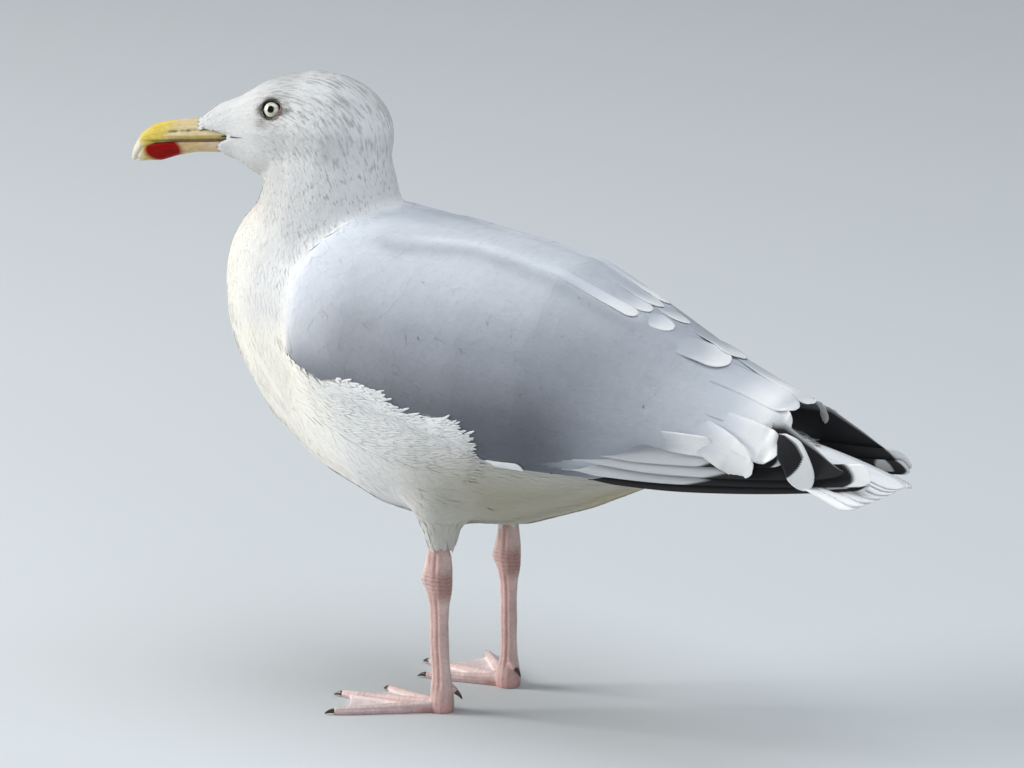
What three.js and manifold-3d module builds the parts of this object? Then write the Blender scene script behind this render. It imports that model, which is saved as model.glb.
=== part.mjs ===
// An adult herring gull in winter plumage, standing at rest: a life-size still model in closed solids.
// Units are millimetres. The bird faces -X, its left side faces -Y, and its soles lie on z = 0.
// Every solid reaches out to the tips of the plumage, so the set gives the true outline of the bird.
import * as THREE from "three";
import { mergeVertices } from "three/addons/utils/BufferGeometryUtils.js";
import Module from "manifold-3d";

const wasm = await Module();
wasm.setup();

// ---- Driving dimensions -------------------------------------------------------------------------------

const GAP = 0.35; // clearance between solids that touch
const MIDDLE = 33; // from the toe joints back to the middle of the bird's length

const STANCE = 60; // between the two legs
const ANKLE = 73; // height of the ankle joint above the floor
const TARSUS_TOP = 66;
const TARSUS_FOOT = 8;

// The head turns and tilts a little on the neck. Its own frame has its origin on the top of the neck.
const HEAD_TURN = { pivot: [-95, 0, 290], yaw: 16, roll: -6 };
const BILL = { pitch: 6, mouth: [-57.6, -2.8] };
const EYE = { radius: 8, place: [-25, -15.8, 16] };

// Tips of the folded primaries, longest first, and the tertials' scalloped rear edge.
const PRIMARY_TIPS = [265, 248, 234, 218];
const TERTIAL_REAR = { top: [203, 204], bottom: [198, 158], tips: 4 };

const TAIL_END = { x: 265, halfWidth: 29, tips: 8, rounding: 10 };

// Station tables for the lofts. Each row is [along, level, up, down, half-width, side]:
// a place on the loft's axis, the height of the section's centre, how far the section reaches above and
// below it, its half-width, and how far it is shifted sideways. Rows of zeros close a loft in a round tip.

const TRUNK = [
  [-147.5, 226, 0, 0, 0],
  [-127, 218, 40, 62.5, 46.5],
  [-84, 204, 48, 87.5, 59.5],
  [-30, 189, 58, 90, 65],
  [22, 182, 60, 83, 61],
  [72, 180, 52, 65, 50],
  [118, 180, 34, 43.5, 34],
  [166, 174, 16, 22, 24],
  [222, 164, 0, 0, 0],
];

// The folded wings and the mantle share one cloak that wraps the trunk.
const CLOAK = [
  [-108, 205, 0, 0, 0],
  [-80, 203, 54, 62, 64],
  [-28, 190, 66, 84, 72],
  [22, 183, 70.5, 84, 70],
  [72, 182, 65, 72, 62],
  [122, 178, 48, 50, 50],
  [172, 172, 34, 28, 37],
  [212, 168, 25, 16, 28],
  [250, 165, 0, 0, 0],
];

// The neck stands upright: along is height, level is how far forward its centre lies, up is forward.
const NECK = [
  [196, 92, 46, 50, 54],
  [222, 95, 48, 44, 50],
  [246, 95, 41, 38, 41],
  [264, 95, 34, 36, 34.5],
  [288, 98, 33, 40, 31],
  [308, 104, 20, 30, 22],
];

const HEAD = [
  [-78, -1.5, 0, 0, 0],
  [-72, -1.5, 8, 8.5, 6.5],
  [-62, -1, 16, 9.5, 9],
  [-50, 1, 19, 14.5, 13],
  [-38, 3, 25, 23, 19],
  [-25, 4, 28.8, 30, 24.5],
  [-8, 4, 32.5, 32, 28.5],
  [12, 4, 29, 30, 28],
  [26, 4, 19, 22, 21],
  [34, 4, 0, 0, 0],
];

// Lower legs, upright: a bare shin, the swollen ankle, and the long tarsus down to the toes.
const SHIN = [
  [104, 0, 5, 5.5, 4.6],
  [88, 0, 5.2, 5.6, 4.6],
  [80, 0.4, 6.4, 7, 5.6],
  [ANKLE, 0.6, 7.4, 7.2, 6.2],
  [TARSUS_TOP, 0, 6.4, 6.6, 5.4],
];
const TARSUS = [
  [TARSUS_TOP, 0, 6.4, 6.6, 5.4],
  [58, 0, 4.8, 5, 3.9],
  [36, 0, 4.4, 4.8, 3.4],
  [16, 0, 4.6, 5, 3.8],
  [TARSUS_FOOT, 0, 6.4, 6.4, 5.8],
];
const FOOT_KNOB = [
  [TARSUS_FOOT, 0, 6.4, 6.4, 5.8],
  [4, 0, 7, 6.6, 6.4],
  [0, 0, 7, 6, 6.2],
];
const THIGH = [
  [142, 2, 24, 28, 17, -2],
  [120, 2, 20, 26, 17, -2],
  [104, 1, 9.5, 12, 11, 0],
  [90, 0, 6.4, 6.8, 6, 0],
];

// Front toes: length to the claw, and the angle outward from straight ahead.
const TOES = { inner: [46, -17], middle: [59, 9], outer: [57, 43] };
const TOE_RADIUS = 3.7;
const WEB_THICKNESS = 1.4;
const CLAW = { length: 5.5, radius: 1.4, level: 2, drop: 1.3 };
const HIND_TOE = { length: 8, radius: 2, place: [0, -28.5, 15], yaw: 12, pitch: 30 };

// ---- Materials ----------------------------------------------------------------------------------------

const matt = (color, roughness = 0.85) => new THREE.MeshStandardMaterial({ color, roughness, metalness: 0 });
const WHITE = matt("#eeeeea");
const GREY = matt("#a9adb5");
const BLACK = matt("#1b1b1e");
const YELLOW = matt("#d9b548", 0.45);
const PINK = matt("#d3a3a0", 0.6);
const DARK = matt("#3a3230", 0.4);
const IRIS = matt("#e4e2c0", 0.15);

// ---- Making solids ------------------------------------------------------------------------------------

const radians = THREE.MathUtils.degToRad;

// Turns a geometry into a manifold solid, placed by a matrix.
function solidOf(geometry, matrix = new THREE.Matrix4()) {
  const bare = new THREE.BufferGeometry().setAttribute("position", geometry.getAttribute("position").clone());
  bare.setIndex(geometry.getIndex());
  const merged = mergeVertices(bare.applyMatrix4(matrix), 1e-4);
  const triVerts = new Uint32Array(merged.index.array);
  return new wasm.Manifold(
    new wasm.Mesh({ numProp: 3, vertProperties: merged.attributes.position.array, triVerts }),
  );
}

// Turns a solid back into a geometry that three.js can draw.
function geometryOf(solid) {
  const { vertProperties, triVerts } = solid.getMesh();
  const geometry = new THREE.BufferGeometry();
  geometry.setAttribute("position", new THREE.BufferAttribute(vertProperties, 3));
  geometry.setIndex(new THREE.BufferAttribute(triVerts, 1));
  geometry.computeVertexNormals();
  return geometry;
}

// Lofts egg-shaped sections along +X through a station table. Sizes blend as squares, which keeps tips
// round. The sections are superellipses whose power blends from one end to the other. grow swells the
// loft on every side, for cutting clearances.
function loft(rows, { rings = 12, segments = 24, power = [2, 2], grow = 0, matrix } = {}) {
  const table = rows[0][0] > rows.at(-1)[0] ? [...rows].reverse() : rows;
  const samples = table.flatMap(([, level, up, down, wide, side = 0]) => [level, up ** 2, down ** 2, wide ** 2, side]);
  const blend = new THREE.CubicInterpolant(table.map((row) => row[0]), samples, 5);
  const from = table[0][0];
  const length = table.at(-1)[0] - from;
  const stretch = 1 + (2 * grow) / length;
  const points = [];
  const faces = [];
  const starts = [];
  for (let i = 0; i <= rings; i++) {
    const share = (1 - Math.cos((Math.PI * i) / rings)) / 2;
    const [level, up2, down2, wide2, side] = blend.evaluate(from + share * length);
    const [up, down, wide] = [up2, down2, wide2].map((square) => Math.sqrt(Math.max(square, 0)) + grow);
    const along = from - grow + share * length * stretch;
    const exponent = 2 / THREE.MathUtils.lerp(...power, share);
    starts.push(points.length / 3);
    if (wide < 0.05) {
      points.push(along, side, level);
      continue;
    }
    for (let j = 0; j < segments; j++) {
      const angle = (2 * Math.PI * j) / segments;
      const [across, height] = [Math.cos(angle), Math.sin(angle)].map(
        (value) => Math.sign(value) * Math.abs(value) ** exponent,
      );
      points.push(along, side + wide * across, level + height * (height > 0 ? up : down));
    }
  }
  const sizeOf = (i) => (starts[i + 1] ?? points.length / 3) - starts[i];
  for (let i = 0; i < rings; i++) {
    const [a, b] = [starts[i], starts[i + 1]];
    for (let j = 0; j < segments; j++) {
      const next = (j + 1) % segments;
      // The quads' diagonals mirror from side to side, which keeps the loft symmetric.
      const onLeft = Math.cos((2 * Math.PI * (j + 0.5)) / segments) < 0;
      if (sizeOf(i) === 1) faces.push(a, b + next, b + j);
      else if (sizeOf(i + 1) === 1) faces.push(a + j, a + next, b);
      else if (onLeft) faces.push(a + j, a + next, b + next, a + j, b + next, b + j);
      else faces.push(a + j, a + next, b + j, a + next, b + next, b + j);
    }
  }
  // Flat caps close the ends that don't come to a tip.
  for (let j = 1; j < segments - 1; j++) {
    if (sizeOf(0) > 1) faces.push(0, j + 1, j);
    if (sizeOf(rings) > 1) faces.push(starts[rings], starts[rings] + j, starts[rings] + j + 1);
  }
  const geometry = new THREE.BufferGeometry();
  geometry.setAttribute("position", new THREE.Float32BufferAttribute(points, 3));
  geometry.setIndex(faces);
  return solidOf(geometry, matrix);
}

// Carries the loft axis +X to +Z and "up" to forward, -X, for parts that stand upright.
const upright = (x = 0, y = 0) =>
  new THREE.Matrix4()
    .makeBasis(new THREE.Vector3(0, 0, 1), new THREE.Vector3(0, 1, 0), new THREE.Vector3(-1, 0, 0))
    .setPosition(x, y, 0);

const placed = (x, y, z, yaw = 0, pitch = 0, roll = 0) =>
  new THREE.Matrix4()
    .makeRotationFromEuler(new THREE.Euler(radians(roll), radians(pitch), radians(yaw), "ZYX"))
    .setPosition(x, y, z);

// A box between two corners.
function block(low, high) {
  const size = high.map((value, i) => value - low[i]);
  const centre = high.map((value, i) => (value + low[i]) / 2);
  return solidOf(new THREE.BoxGeometry(...size), placed(...centre));
}

// A side-view outline, given in x and z, run through the whole width of the bird.
function sideView(outline) {
  const shape = new THREE.Shape(outline.map(([x, z]) => new THREE.Vector2(x, z)));
  const depth = 240;
  const matrix = new THREE.Matrix4()
    .makeBasis(new THREE.Vector3(1, 0, 0), new THREE.Vector3(0, 0, 1), new THREE.Vector3(0, -1, 0))
    .setPosition(0, depth / 2, 0);
  return solidOf(new THREE.ExtrudeGeometry(shape, { depth, bevelEnabled: false }), matrix);
}

const join = (solids) => solids.reduce((whole, solid) => whole.add(solid));
const cut = (solid, ...tools) => tools.reduce((left, tool) => left.subtract(tool), solid);

// The largest of a solid's separate bodies, which drops crumbs that a cut leaves.
function largest(solid) {
  return solid.decompose().reduce((best, body) => (body.volume() > best.volume() ? body : best));
}

// ---- Flesh and plumage --------------------------------------------------------------------------------

const headPlace = placed(...HEAD_TURN.pivot, HEAD_TURN.yaw, 0, HEAD_TURN.roll);
const trunkShape = { rings: 14, segments: 20, power: [2.15, 2.15] };
const neckShape = { rings: 5, segments: 16, matrix: upright() };
const headShape = { rings: 12, segments: 16, power: [2.1, 2.1], matrix: headPlace };
const thighShape = (side) => ({ rings: 8, segments: 14, matrix: upright(0, side * STANCE / 2) });

// Head, neck and trunk are one body, parted by two sloping planes seen from the side.
const flesh = (grow = 0) =>
  join([[HEAD, headShape], [NECK, neckShape], [TRUNK, trunkShape]].map(([rows, shape]) => loft(rows, { ...shape, grow })));
const THROAT_LINE = [[-260, 233], [40, 305]];
const COLLAR_LINE = [[-260, 214], [40, 286]];
const above = 400;
const over = ([front, rear]) => sideView([front, rear, [rear[0], above], [front[0], above]]);
const lowered = (line) => line.map(([x, z]) => [x, z - GAP]);

// The bare bill reaches back to the gape, so the face feathers stop along this line, in the head's frame.
const FACE_EDGE = [
  [-90, 25],
  [-90, -25],
  [-59, -25],
  [-59, -10],
  [-61, -7],
  [-57, -3.7],
  [-45.7, 0.2],
  [-57, 1.2],
  [-63, 2.2],
  [-72, 2],
  [-73.5, 6.3],
  [-73.5, 25],
];

const head = () => {
  const bareFace = sideView(FACE_EDGE).transform(headPlace.toArray());
  const bills = [UPPER_BILL, LOWER_BILL].map((rows) => loft(rows, { ...billShape, grow: GAP }));
  return largest(cut(flesh().intersect(over(THROAT_LINE)), bareFace, ...bills, eyeball(-1, GAP), eyeball(1, GAP)));
};

const neck = () => largest(cut(flesh().intersect(over(COLLAR_LINE)), over(lowered(THROAT_LINE))));

const trunk = () => {
  const thighs = [-1, 1].map((side) => loft(mirrored(THIGH, side), { ...thighShape(side), grow: GAP }));
  return largest(cut(flesh(), over(lowered(COLLAR_LINE)), ...thighs, tailRoom()));
};
const mirrored = (rows, side) => rows.map(([a, b, c, d, e, shift = 0]) => [a, b, c, d, e, -shift * side]);

const thigh = () => loft(THIGH, thighShape(-1));

function eyeball(side, grow = 0) {
  const [x, y, z] = EYE.place;
  const ball = new THREE.SphereGeometry(EYE.radius + grow, 12, 8);
  return solidOf(ball, placed(x, y * -side, z)).transform(headPlace.toArray());
}

// ---- Wings, mantle and tail ---------------------------------------------------------------------------

const cloakShape = { rings: 14, segments: 26, power: [2.3, 1.6] };
const shell = () => cut(loft(CLOAK, cloakShape), flesh(GAP)).intersect(sideView(BEHIND_SHOULDER));
const leftHalf = () => block([-300, -200, 0], [400, -GAP / 2, 400]);

// Side-view lines, in x and z, that part the cloak from the neck, then into mantle, wing and tertials.
const BEHIND_SHOULDER = [
  [300, 100],
  [300, 300],
  [-48, 300],
  [-57, 263],
  [-68, 248],
  [-77, 236],
  [-82, 222],
  [-84, 100],
];
const SCAPULAR_LINE = [
  [-110, 232],
  [-20, 236],
  [60, 236],
  [136, 230],
];
const WING_EDGE = [
  [-110, 208],
  [-84, 194],
  [-60, 179],
  [-5, 168],
  [32, 158],
  [54, 148],
  [108, 145],
  [122, 160],
  [136, 170],
];
const rearOfCoverts = SCAPULAR_LINE.at(-1)[0];

const mantle = () => {
  const region = sideView([...SCAPULAR_LINE, [rearOfCoverts, above], [SCAPULAR_LINE[0][0], above]]);
  return largest(shell().intersect(region));
};

const wing = () => {
  const top = SCAPULAR_LINE.map(([x, z]) => [x, z - GAP]).reverse();
  const side = shell().intersect(sideView([...WING_EDGE, ...top])).intersect(leftHalf());
  return largest(cut(side, loft(THIGH, { ...thighShape(-1), grow: GAP })));
};

// Points along a line of rounded feather tips, from one end to the other, bulging to its left.
function scallops([fromX, fromY], [toX, toY], tips, steps = 3) {
  const along = new THREE.Vector2(toX - fromX, toY - fromY).divideScalar(tips);
  const bulge = new THREE.Vector2(along.y, -along.x).multiplyScalar(-0.45);
  return Array.from({ length: tips * steps + 1 }, (_, i) => {
    const share = (i % steps) / steps;
    const out = Math.sin(Math.PI * share);
    const place = along.clone().multiplyScalar(i / steps).addScaledVector(bulge, out);
    return [fromX + place.x, fromY + place.y];
  });
}

const tertials = () => {
  const front = rearOfCoverts + GAP;
  const { top, bottom, tips } = TERTIAL_REAR;
  const outline = [[front, 170], [front, above], [top[0], above], ...scallops(top, bottom, tips)];
  const side = loft(CLOAK, cloakShape).intersect(sideView(outline)).intersect(leftHalf());
  return largest(cut(side, loft(TRUNK, { ...trunkShape, grow: GAP }), tailSlab(GAP)));
};

// One flight feather: a thin blade with a round tip, from root to tip, rolled about its shaft.
function vane(root, tip, halfWidth, thickness, roll) {
  const [start, end] = [root, tip].map((place) => new THREE.Vector3(...place));
  const shaft = end.clone().sub(start);
  const length = shaft.length();
  const across = new THREE.Vector3(0, 1, 0).cross(shaft).normalize().cross(shaft).negate().normalize();
  const normal = shaft.clone().normalize().cross(across);
  const matrix = new THREE.Matrix4()
    .makeBasis(shaft.clone().normalize(), across, normal)
    .multiply(new THREE.Matrix4().makeRotationX(radians(roll)))
    .setPosition(start);
  const half = thickness / 2;
  const rows = [
    [0, 0, half, half, halfWidth * 0.7],
    [length * 0.3, 0, half, half, halfWidth],
    [length * 0.8, 0, half * 0.8, half * 0.8, halfWidth * 0.9],
    [length, 0, 0, 0, 0],
  ];
  return loft(rows, { rings: 5, segments: 8, matrix });
}

// The folded primaries lie stacked on edge beneath the tertials, the longest lowest and outermost.
const primaries = () => {
  const blades = PRIMARY_TIPS.map((tip, i) => {
    const root = [102, -44 + 2 * i, 151 + 4 * i];
    return vane(root, [tip, -22 + 1.5 * i, 164 + 4 * i], 10.5, 4, -66 + 4 * i);
  });
  const clearances = [
    loft(TRUNK, { ...trunkShape, grow: GAP }),
    tailSlab(GAP),
    tertials(),
    wing(),
  ];
  return largest(cut(join(blades).intersect(leftHalf()), ...clearances));
};

const TAIL = [
  [110, 160, 42, 10, 22],
  [180, 155, 28, 7, 27],
  [214, 154, 18, 4, 29],
  [240, 154, 8.5, 2.5, 30],
  [290, 151, 1.5, 1.5, 31],
];
const TAIL_THICKNESS = 4.5;
const tailSlab = (grow = 0) => loft(TAIL, { rings: 9, segments: 16, grow });
const tailRoom = () => cut(tailSlab(GAP), tailSlab().translate([0, 0, -TAIL_THICKNESS - GAP]));

// The tail is an arched sheet of overlapping feathers whose end is a shallow arc of feather tips.
const tail = () => {
  const { x, halfWidth, tips, rounding } = TAIL_END;
  const ends = scallops([x, halfWidth], [x, -halfWidth], tips).map(([px, py]) => [
    px - rounding * (py / halfWidth) ** 2,
    py,
  ]);
  const shape = new THREE.Shape([[130, 60], ...ends, [130, -60]].map(([px, py]) => new THREE.Vector2(px, py)));
  const plan = solidOf(new THREE.ExtrudeGeometry(shape, { depth: 300, bevelEnabled: false }));
  const sheet = cut(tailSlab(), tailSlab().translate([0, 0, -TAIL_THICKNESS]));
  return largest(sheet.intersect(plan));
};

// ---- Bill ---------------------------------------------------------------------------------------------

// The bill is lofted along its own length, with the mouth line at level 0, then pitched down.
const billPlace = headPlace.clone().multiply(placed(BILL.mouth[0], 0, BILL.mouth[1], 180, BILL.pitch));
const billShape = { rings: 10, segments: 12, matrix: billPlace };
const UPPER_BILL = [
  [-16, 0, 8, 1, 10],
  [0, 0, 10, 1, 9],
  [14, 0, 10.7, 1, 7.4],
  [26, 0, 10.4, 1, 6],
  [36, 0, 9.5, 1, 5],
  [43, -0.3, 7.8, 2, 4.1],
  [48, -1.6, 5.6, 3.8, 3.4],
  [51.5, -4.5, 4.4, 4.4, 2.5],
  [55, -9.7, 0, 0, 0],
];
const LOWER_BILL = [
  [-16, -1.5, 0.5, 6, 9],
  [0, -1.5, 0.5, 6, 8],
  [16, -1.5, 0.5, 5.2, 6.2],
  [28, -1.5, 0.5, 6.6, 5],
  [36, -1.8, 0.5, 8.8, 4.4],
  [45.5, -3, 0.5, 7.5, 3.6],
  [52.5, -8.6, 0, 0, 0],
];
const NOSTRIL = { along: 27, level: 4.6, length: 9, height: 1.4 };

const upperBill = () => {
  const { along, level, length, height } = NOSTRIL;
  const slot = new THREE.CylinderGeometry(height / 2, height / 2, 40, 8).scale(length / height, 1, 1);
  const nostril = solidOf(slot, billPlace.clone().multiply(placed(along, 0, level)));
  return cut(loft(UPPER_BILL, billShape), nostril);
};
const lowerBill = () => cut(loft(LOWER_BILL, billShape), loft(UPPER_BILL, { ...billShape, grow: GAP }));

// ---- Legs and feet ------------------------------------------------------------------------------------

const legPlace = upright(0, -STANCE / 2);

const shin = () => {
  const whole = loft(SHIN, { rings: 8, segments: 12, matrix: legPlace });
  return largest(cut(whole, loft(THIGH, { ...thighShape(-1), grow: GAP }), block([-50, -80, 0], [50, 0, TARSUS_TOP])));
};
const tarsus = () => {
  const whole = loft(TARSUS, { rings: 8, segments: 12, matrix: legPlace });
  return whole.intersect(block([-50, -80, TARSUS_FOOT + GAP], [50, 0, TARSUS_TOP - GAP]));
};

const toePlace = (angle) => placed(0, -STANCE / 2, 0, 180 + angle);

// One front toe: a jointed tube that lies along the floor, flat below.
function toe([length, angle]) {
  const rows = [
    [-6, 3, 0, 0, 0],
    [0, 3, TOE_RADIUS, 4, TOE_RADIUS],
    [length * 0.36, 2.4, 2.4, 4, 2.7],
    [length * 0.5, 2.5, 2.9, 4, 3.1],
    [length * 0.72, 2, 2, 4, 2.4],
    [length * 0.84, 2, 2.3, 4, 2.6],
    [length, 2, 1.7, 2, 1.7],
  ];
  return loft(rows, { rings: 8, segments: 8, matrix: toePlace(angle) });
}

// A claw carries on from the end of a toe, tapering and curving down.
function claw(from, level, matrix) {
  const { length, radius, drop } = CLAW;
  const rows = [
    [from + GAP, level, radius, radius, radius],
    [from + length * 0.4, level, radius * 0.8, radius * 0.8, radius * 0.6],
    [from + length, level - drop, 0, 0, 0],
  ];
  return loft(rows, { rings: 4, segments: 6, matrix });
}
const frontClaw = ([length, angle]) => claw(length, CLAW.level, toePlace(angle));

// The web between two toes: a thin plate whose front edge curves in between the toe tips.
function web([lengthA, angleA], [lengthB, angleB]) {
  const tip = (length, angle) =>
    new THREE.Vector2(-Math.cos(radians(angle)), -Math.sin(radians(angle))).multiplyScalar(length * 0.93);
  const [a, b] = [tip(lengthA, angleA), tip(lengthB, angleB)];
  const middle = a.clone().add(b).multiplyScalar(0.46);
  const shape = new THREE.Shape();
  shape.moveTo(0, 0);
  shape.lineTo(a.x, a.y);
  shape.quadraticCurveTo(middle.x, middle.y, b.x, b.y);
  const plate = { depth: WEB_THICKNESS, bevelEnabled: false, curveSegments: 6 };
  return solidOf(new THREE.ExtrudeGeometry(shape, plate), placed(0, -STANCE / 2, 0));
}

const foot = () => {
  const { inner, middle, outer } = TOES;
  const knob = loft(FOOT_KNOB, { rings: 3, segments: 12, matrix: legPlace });
  const floorUp = block([-300, -200, 0], [400, 200, 400]);
  return join([toe(inner), toe(middle), toe(outer), web(inner, middle), web(middle, outer), knob]).intersect(floorUp);
};

const hindPlace = placed(...HIND_TOE.place, HIND_TOE.yaw, HIND_TOE.pitch);
const hindToe = () => {
  const { length, radius } = HIND_TOE;
  const rows = [
    [0, 0, radius, radius, radius],
    [length * 0.6, 0, radius, radius, radius],
    [length, 0, CLAW.radius, CLAW.radius, CLAW.radius],
  ];
  const whole = loft(rows, { rings: 4, segments: 8, matrix: hindPlace });
  return largest(cut(whole, loft(TARSUS, { rings: 8, segments: 12, grow: GAP, matrix: legPlace })));
};

// ---- Assembly -----------------------------------------------------------------------------------------

const gull = new THREE.Group();
gull.position.x = -MIDDLE;

function add(name, solid, material) {
  const mesh = new THREE.Mesh(geometryOf(solid), material);
  mesh.name = name;
  gull.add(mesh);
}

// Adds a left-hand part and its mirror image on the right.
function addPair(name, solid, material) {
  for (const [side, mirror] of [["left", 1], ["right", -1]]) {
    const mesh = new THREE.Mesh(geometryOf(solid), material);
    mesh.name = `${name}_${side}`;
    mesh.scale.y = mirror;
    gull.add(mesh);
  }
}

add("head", head(), WHITE);
add("neck", neck(), WHITE);
add("trunk", trunk(), WHITE);
add("mantle", mantle(), GREY);
add("tail", tail(), WHITE);
add("bill_upper", upperBill(), YELLOW);
add("bill_lower", lowerBill(), YELLOW);
add("eye_left", eyeball(-1), IRIS);
add("eye_right", eyeball(1), IRIS);
addPair("wing", wing(), GREY);
addPair("tertials", tertials(), GREY);
addPair("primaries", primaries(), BLACK);
addPair("thigh", thigh(), WHITE);
addPair("shin", shin(), PINK);
addPair("tarsus", tarsus(), PINK);
addPair("foot", foot(), PINK);
addPair("hind_toe", hindToe(), PINK);
for (const name of Object.keys(TOES)) addPair(`claw_${name}`, frontClaw(TOES[name]), DARK);
addPair("claw_hind", claw(HIND_TOE.length, 0, hindPlace), DARK);

export default gull;
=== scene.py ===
"""The looks of an adult herring gull in winter plumage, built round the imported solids.

Shapes are worked out in millimetres and scaled to metres as each mesh is made. The bird faces -X, its left
side faces -Y and it stands on z = 0.
"""

import math

import bpy
import numpy as np
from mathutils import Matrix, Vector
from mathutils.bvhtree import BVHTree
from mathutils.kdtree import KDTree


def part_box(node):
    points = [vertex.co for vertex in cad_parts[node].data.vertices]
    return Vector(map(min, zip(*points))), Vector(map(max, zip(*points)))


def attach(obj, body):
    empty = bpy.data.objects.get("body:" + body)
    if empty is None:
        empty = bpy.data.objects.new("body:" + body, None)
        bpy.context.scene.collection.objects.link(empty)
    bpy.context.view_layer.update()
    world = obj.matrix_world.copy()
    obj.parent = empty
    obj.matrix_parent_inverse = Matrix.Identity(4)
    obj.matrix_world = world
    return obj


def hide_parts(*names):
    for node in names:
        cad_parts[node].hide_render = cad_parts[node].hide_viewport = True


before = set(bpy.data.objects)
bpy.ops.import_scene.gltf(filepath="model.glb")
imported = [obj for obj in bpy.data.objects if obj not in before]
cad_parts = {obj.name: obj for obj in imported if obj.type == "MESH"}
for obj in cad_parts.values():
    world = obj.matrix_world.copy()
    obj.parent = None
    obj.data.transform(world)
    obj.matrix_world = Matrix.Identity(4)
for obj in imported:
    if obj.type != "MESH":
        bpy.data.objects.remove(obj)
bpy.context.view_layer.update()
MM = 0.001
rng = np.random.default_rng(11)

# ---- Driving values ----

HEAD_YAW, HEAD_ROLL = 16, -6      # degrees: how the head is turned and tilted on the neck
EYE_IN_HEAD = (-25, 0, 16)        # the point between the eyes, in the head's own frame
BILL_IN_HEAD = (-57.6, 0, -2.8)   # the corner where the bill leaves the face
BILL_PITCH = 6
# The crease behind the mouth is drawn as a strip of painted shade.
GAPE_CREASE = ((-57.0, -1.0), (-41.5, 0.6))  # the ends of the dark crease behind the mouth, from the side
SKIN_DEPTH = {"head": 0.35, "body": 0.4}     # how deep the skin lies under the feather tips
COAT_RISE = 0.4                   # how far the feather tips lie outside the smoothed solids
RIDGE_RISE, RIDGE_WIDTH = 0.8, 4.0   # height and width of the fold along the upper edge of the scapulars

WHITE = np.array([0.85, 0.86, 0.86])
# brighter than the body's white: painted light on the tail
LIT_TAIL_WHITE = np.array([0.95, 0.96, 0.97])
# warm cream, brighter than WHITE: painted light on the breast
LIT_CREAM = np.array([0.99, 0.965, 0.875])
# a dull belly tone, darkened with painted shade for the underside
DULL_SHADED_BELLY = np.array([0.42, 0.388, 0.295])
OCHRE = np.array([0.46, 0.38, 0.20])
GREY = np.array([0.30, 0.32, 0.36])
PALE_GREY = np.array([0.57, 0.60, 0.65])
# painted shade for the lower part of the folded wing
SHADED_WING_GREY = np.array([0.112, 0.123, 0.147])
GREY_TONGUE = np.array([0.53, 0.55, 0.58])
BLACK = np.array([0.012, 0.012, 0.014])
# the dark smudges round the eyes; the same colour is painted shade in the crease behind the mouth
SMUDGE_AND_SHADE = np.array([0.09, 0.085, 0.08])
RUST = np.array([0.11, 0.03, 0.02])
STREAK = (0.24, 0.23, 0.22, 1)

PAIR = (("left", -1), ("right", 1))
MIRROR = np.array([1, -1, 1])
WHITE_NODES = ["head", "neck", "trunk", "thigh_left", "thigh_right"]
WING_NODES = ["mantle", "wing_left", "wing_right"]
TERTIAL_NODES = ["tertials_left", "tertials_right"]
FACE_NODES = ["head", "bill_upper", "bill_lower", "eye_left", "eye_right"]
THIGH_NODES = ["thigh_left", "thigh_right", "shin_left", "shin_right"]

# ---- Small helpers ----


def unit(vectors):
    length = np.linalg.norm(vectors, axis=-1, keepdims=True)
    return vectors / np.maximum(length, 1e-9)


def ease(low, high, value):
    """0 below low, 1 above high, and a smooth rise between them."""
    share = np.clip((value - low) / (high - low), 0, 1)
    return share * share * (3 - 2 * share)


def bell(value, centre, width):
    """1 at the centre, falling off smoothly on both sides."""
    return np.exp(-((value - centre) / width) ** 2)


def field(points, **fades):
    """The product of fades along x, y or z. Each is given in pairs: where it is 0, and where it is 1."""
    share = 1.0
    for axis, ends in fades.items():
        for low, high in zip(ends[::2], ends[1::2]):
            share = share * ease(low, high, points[:, "xyz".index(axis)])
    return share


def mix(a, b, share):
    return a + (b - a) * np.asarray(share)[..., None]


def layered(tint, *layers):
    """A tint with other colours laid over it in turn, each by its own share."""
    for colour, share in layers:
        tint = mix(tint, colour, share)
    return tint


def darker(tint, share):
    return tint * (1 - share)[:, None]


def spot(points, centre, radii):
    """1 at a point, fading to 0 at the surface of the ellipsoid round it."""
    away = np.linalg.norm((points - np.array(centre)) / np.array(radii), axis=-1)
    return 1 - ease(0.3, 1.0, away)


def turn(degrees, axis):
    angle = math.radians(degrees)
    c, s = math.cos(angle), math.sin(angle)
    return np.array({"x": [[1, 0, 0], [0, c, -s], [0, s, c]],
                     "y": [[c, 0, s], [0, 1, 0], [-s, 0, c]],
                     "z": [[c, -s, 0], [s, c, 0], [0, 0, 1]]}[axis])


def middle(node):
    low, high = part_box(node)
    return np.array(low + high) / 2 / MM


HEAD_TURN = turn(HEAD_YAW, "z") @ turn(HEAD_ROLL, "x")
HEAD_ORIGIN = (middle("eye_left") + middle("eye_right")) / 2 - HEAD_TURN @ np.array(EYE_IN_HEAD)
BILL_TURN = HEAD_TURN @ turn(180, "z") @ turn(BILL_PITCH, "y")


def in_head(points):
    return (points - HEAD_ORIGIN) @ HEAD_TURN


def from_head(points):
    return HEAD_ORIGIN + np.asarray(points, float) @ HEAD_TURN.T


def in_bill(points):
    """Bill coordinates: how far out along it, to which side, and how far above the mouth line."""
    return (points - from_head(BILL_IN_HEAD)) @ BILL_TURN


def from_segment(points, a, b):
    """The way to each point from the nearest place on the line between two ends."""
    share = np.clip((points - a) @ (b - a) / ((b - a) @ (b - a)), 0, 1)
    return points - a - (b - a) * share[:, None]


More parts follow.
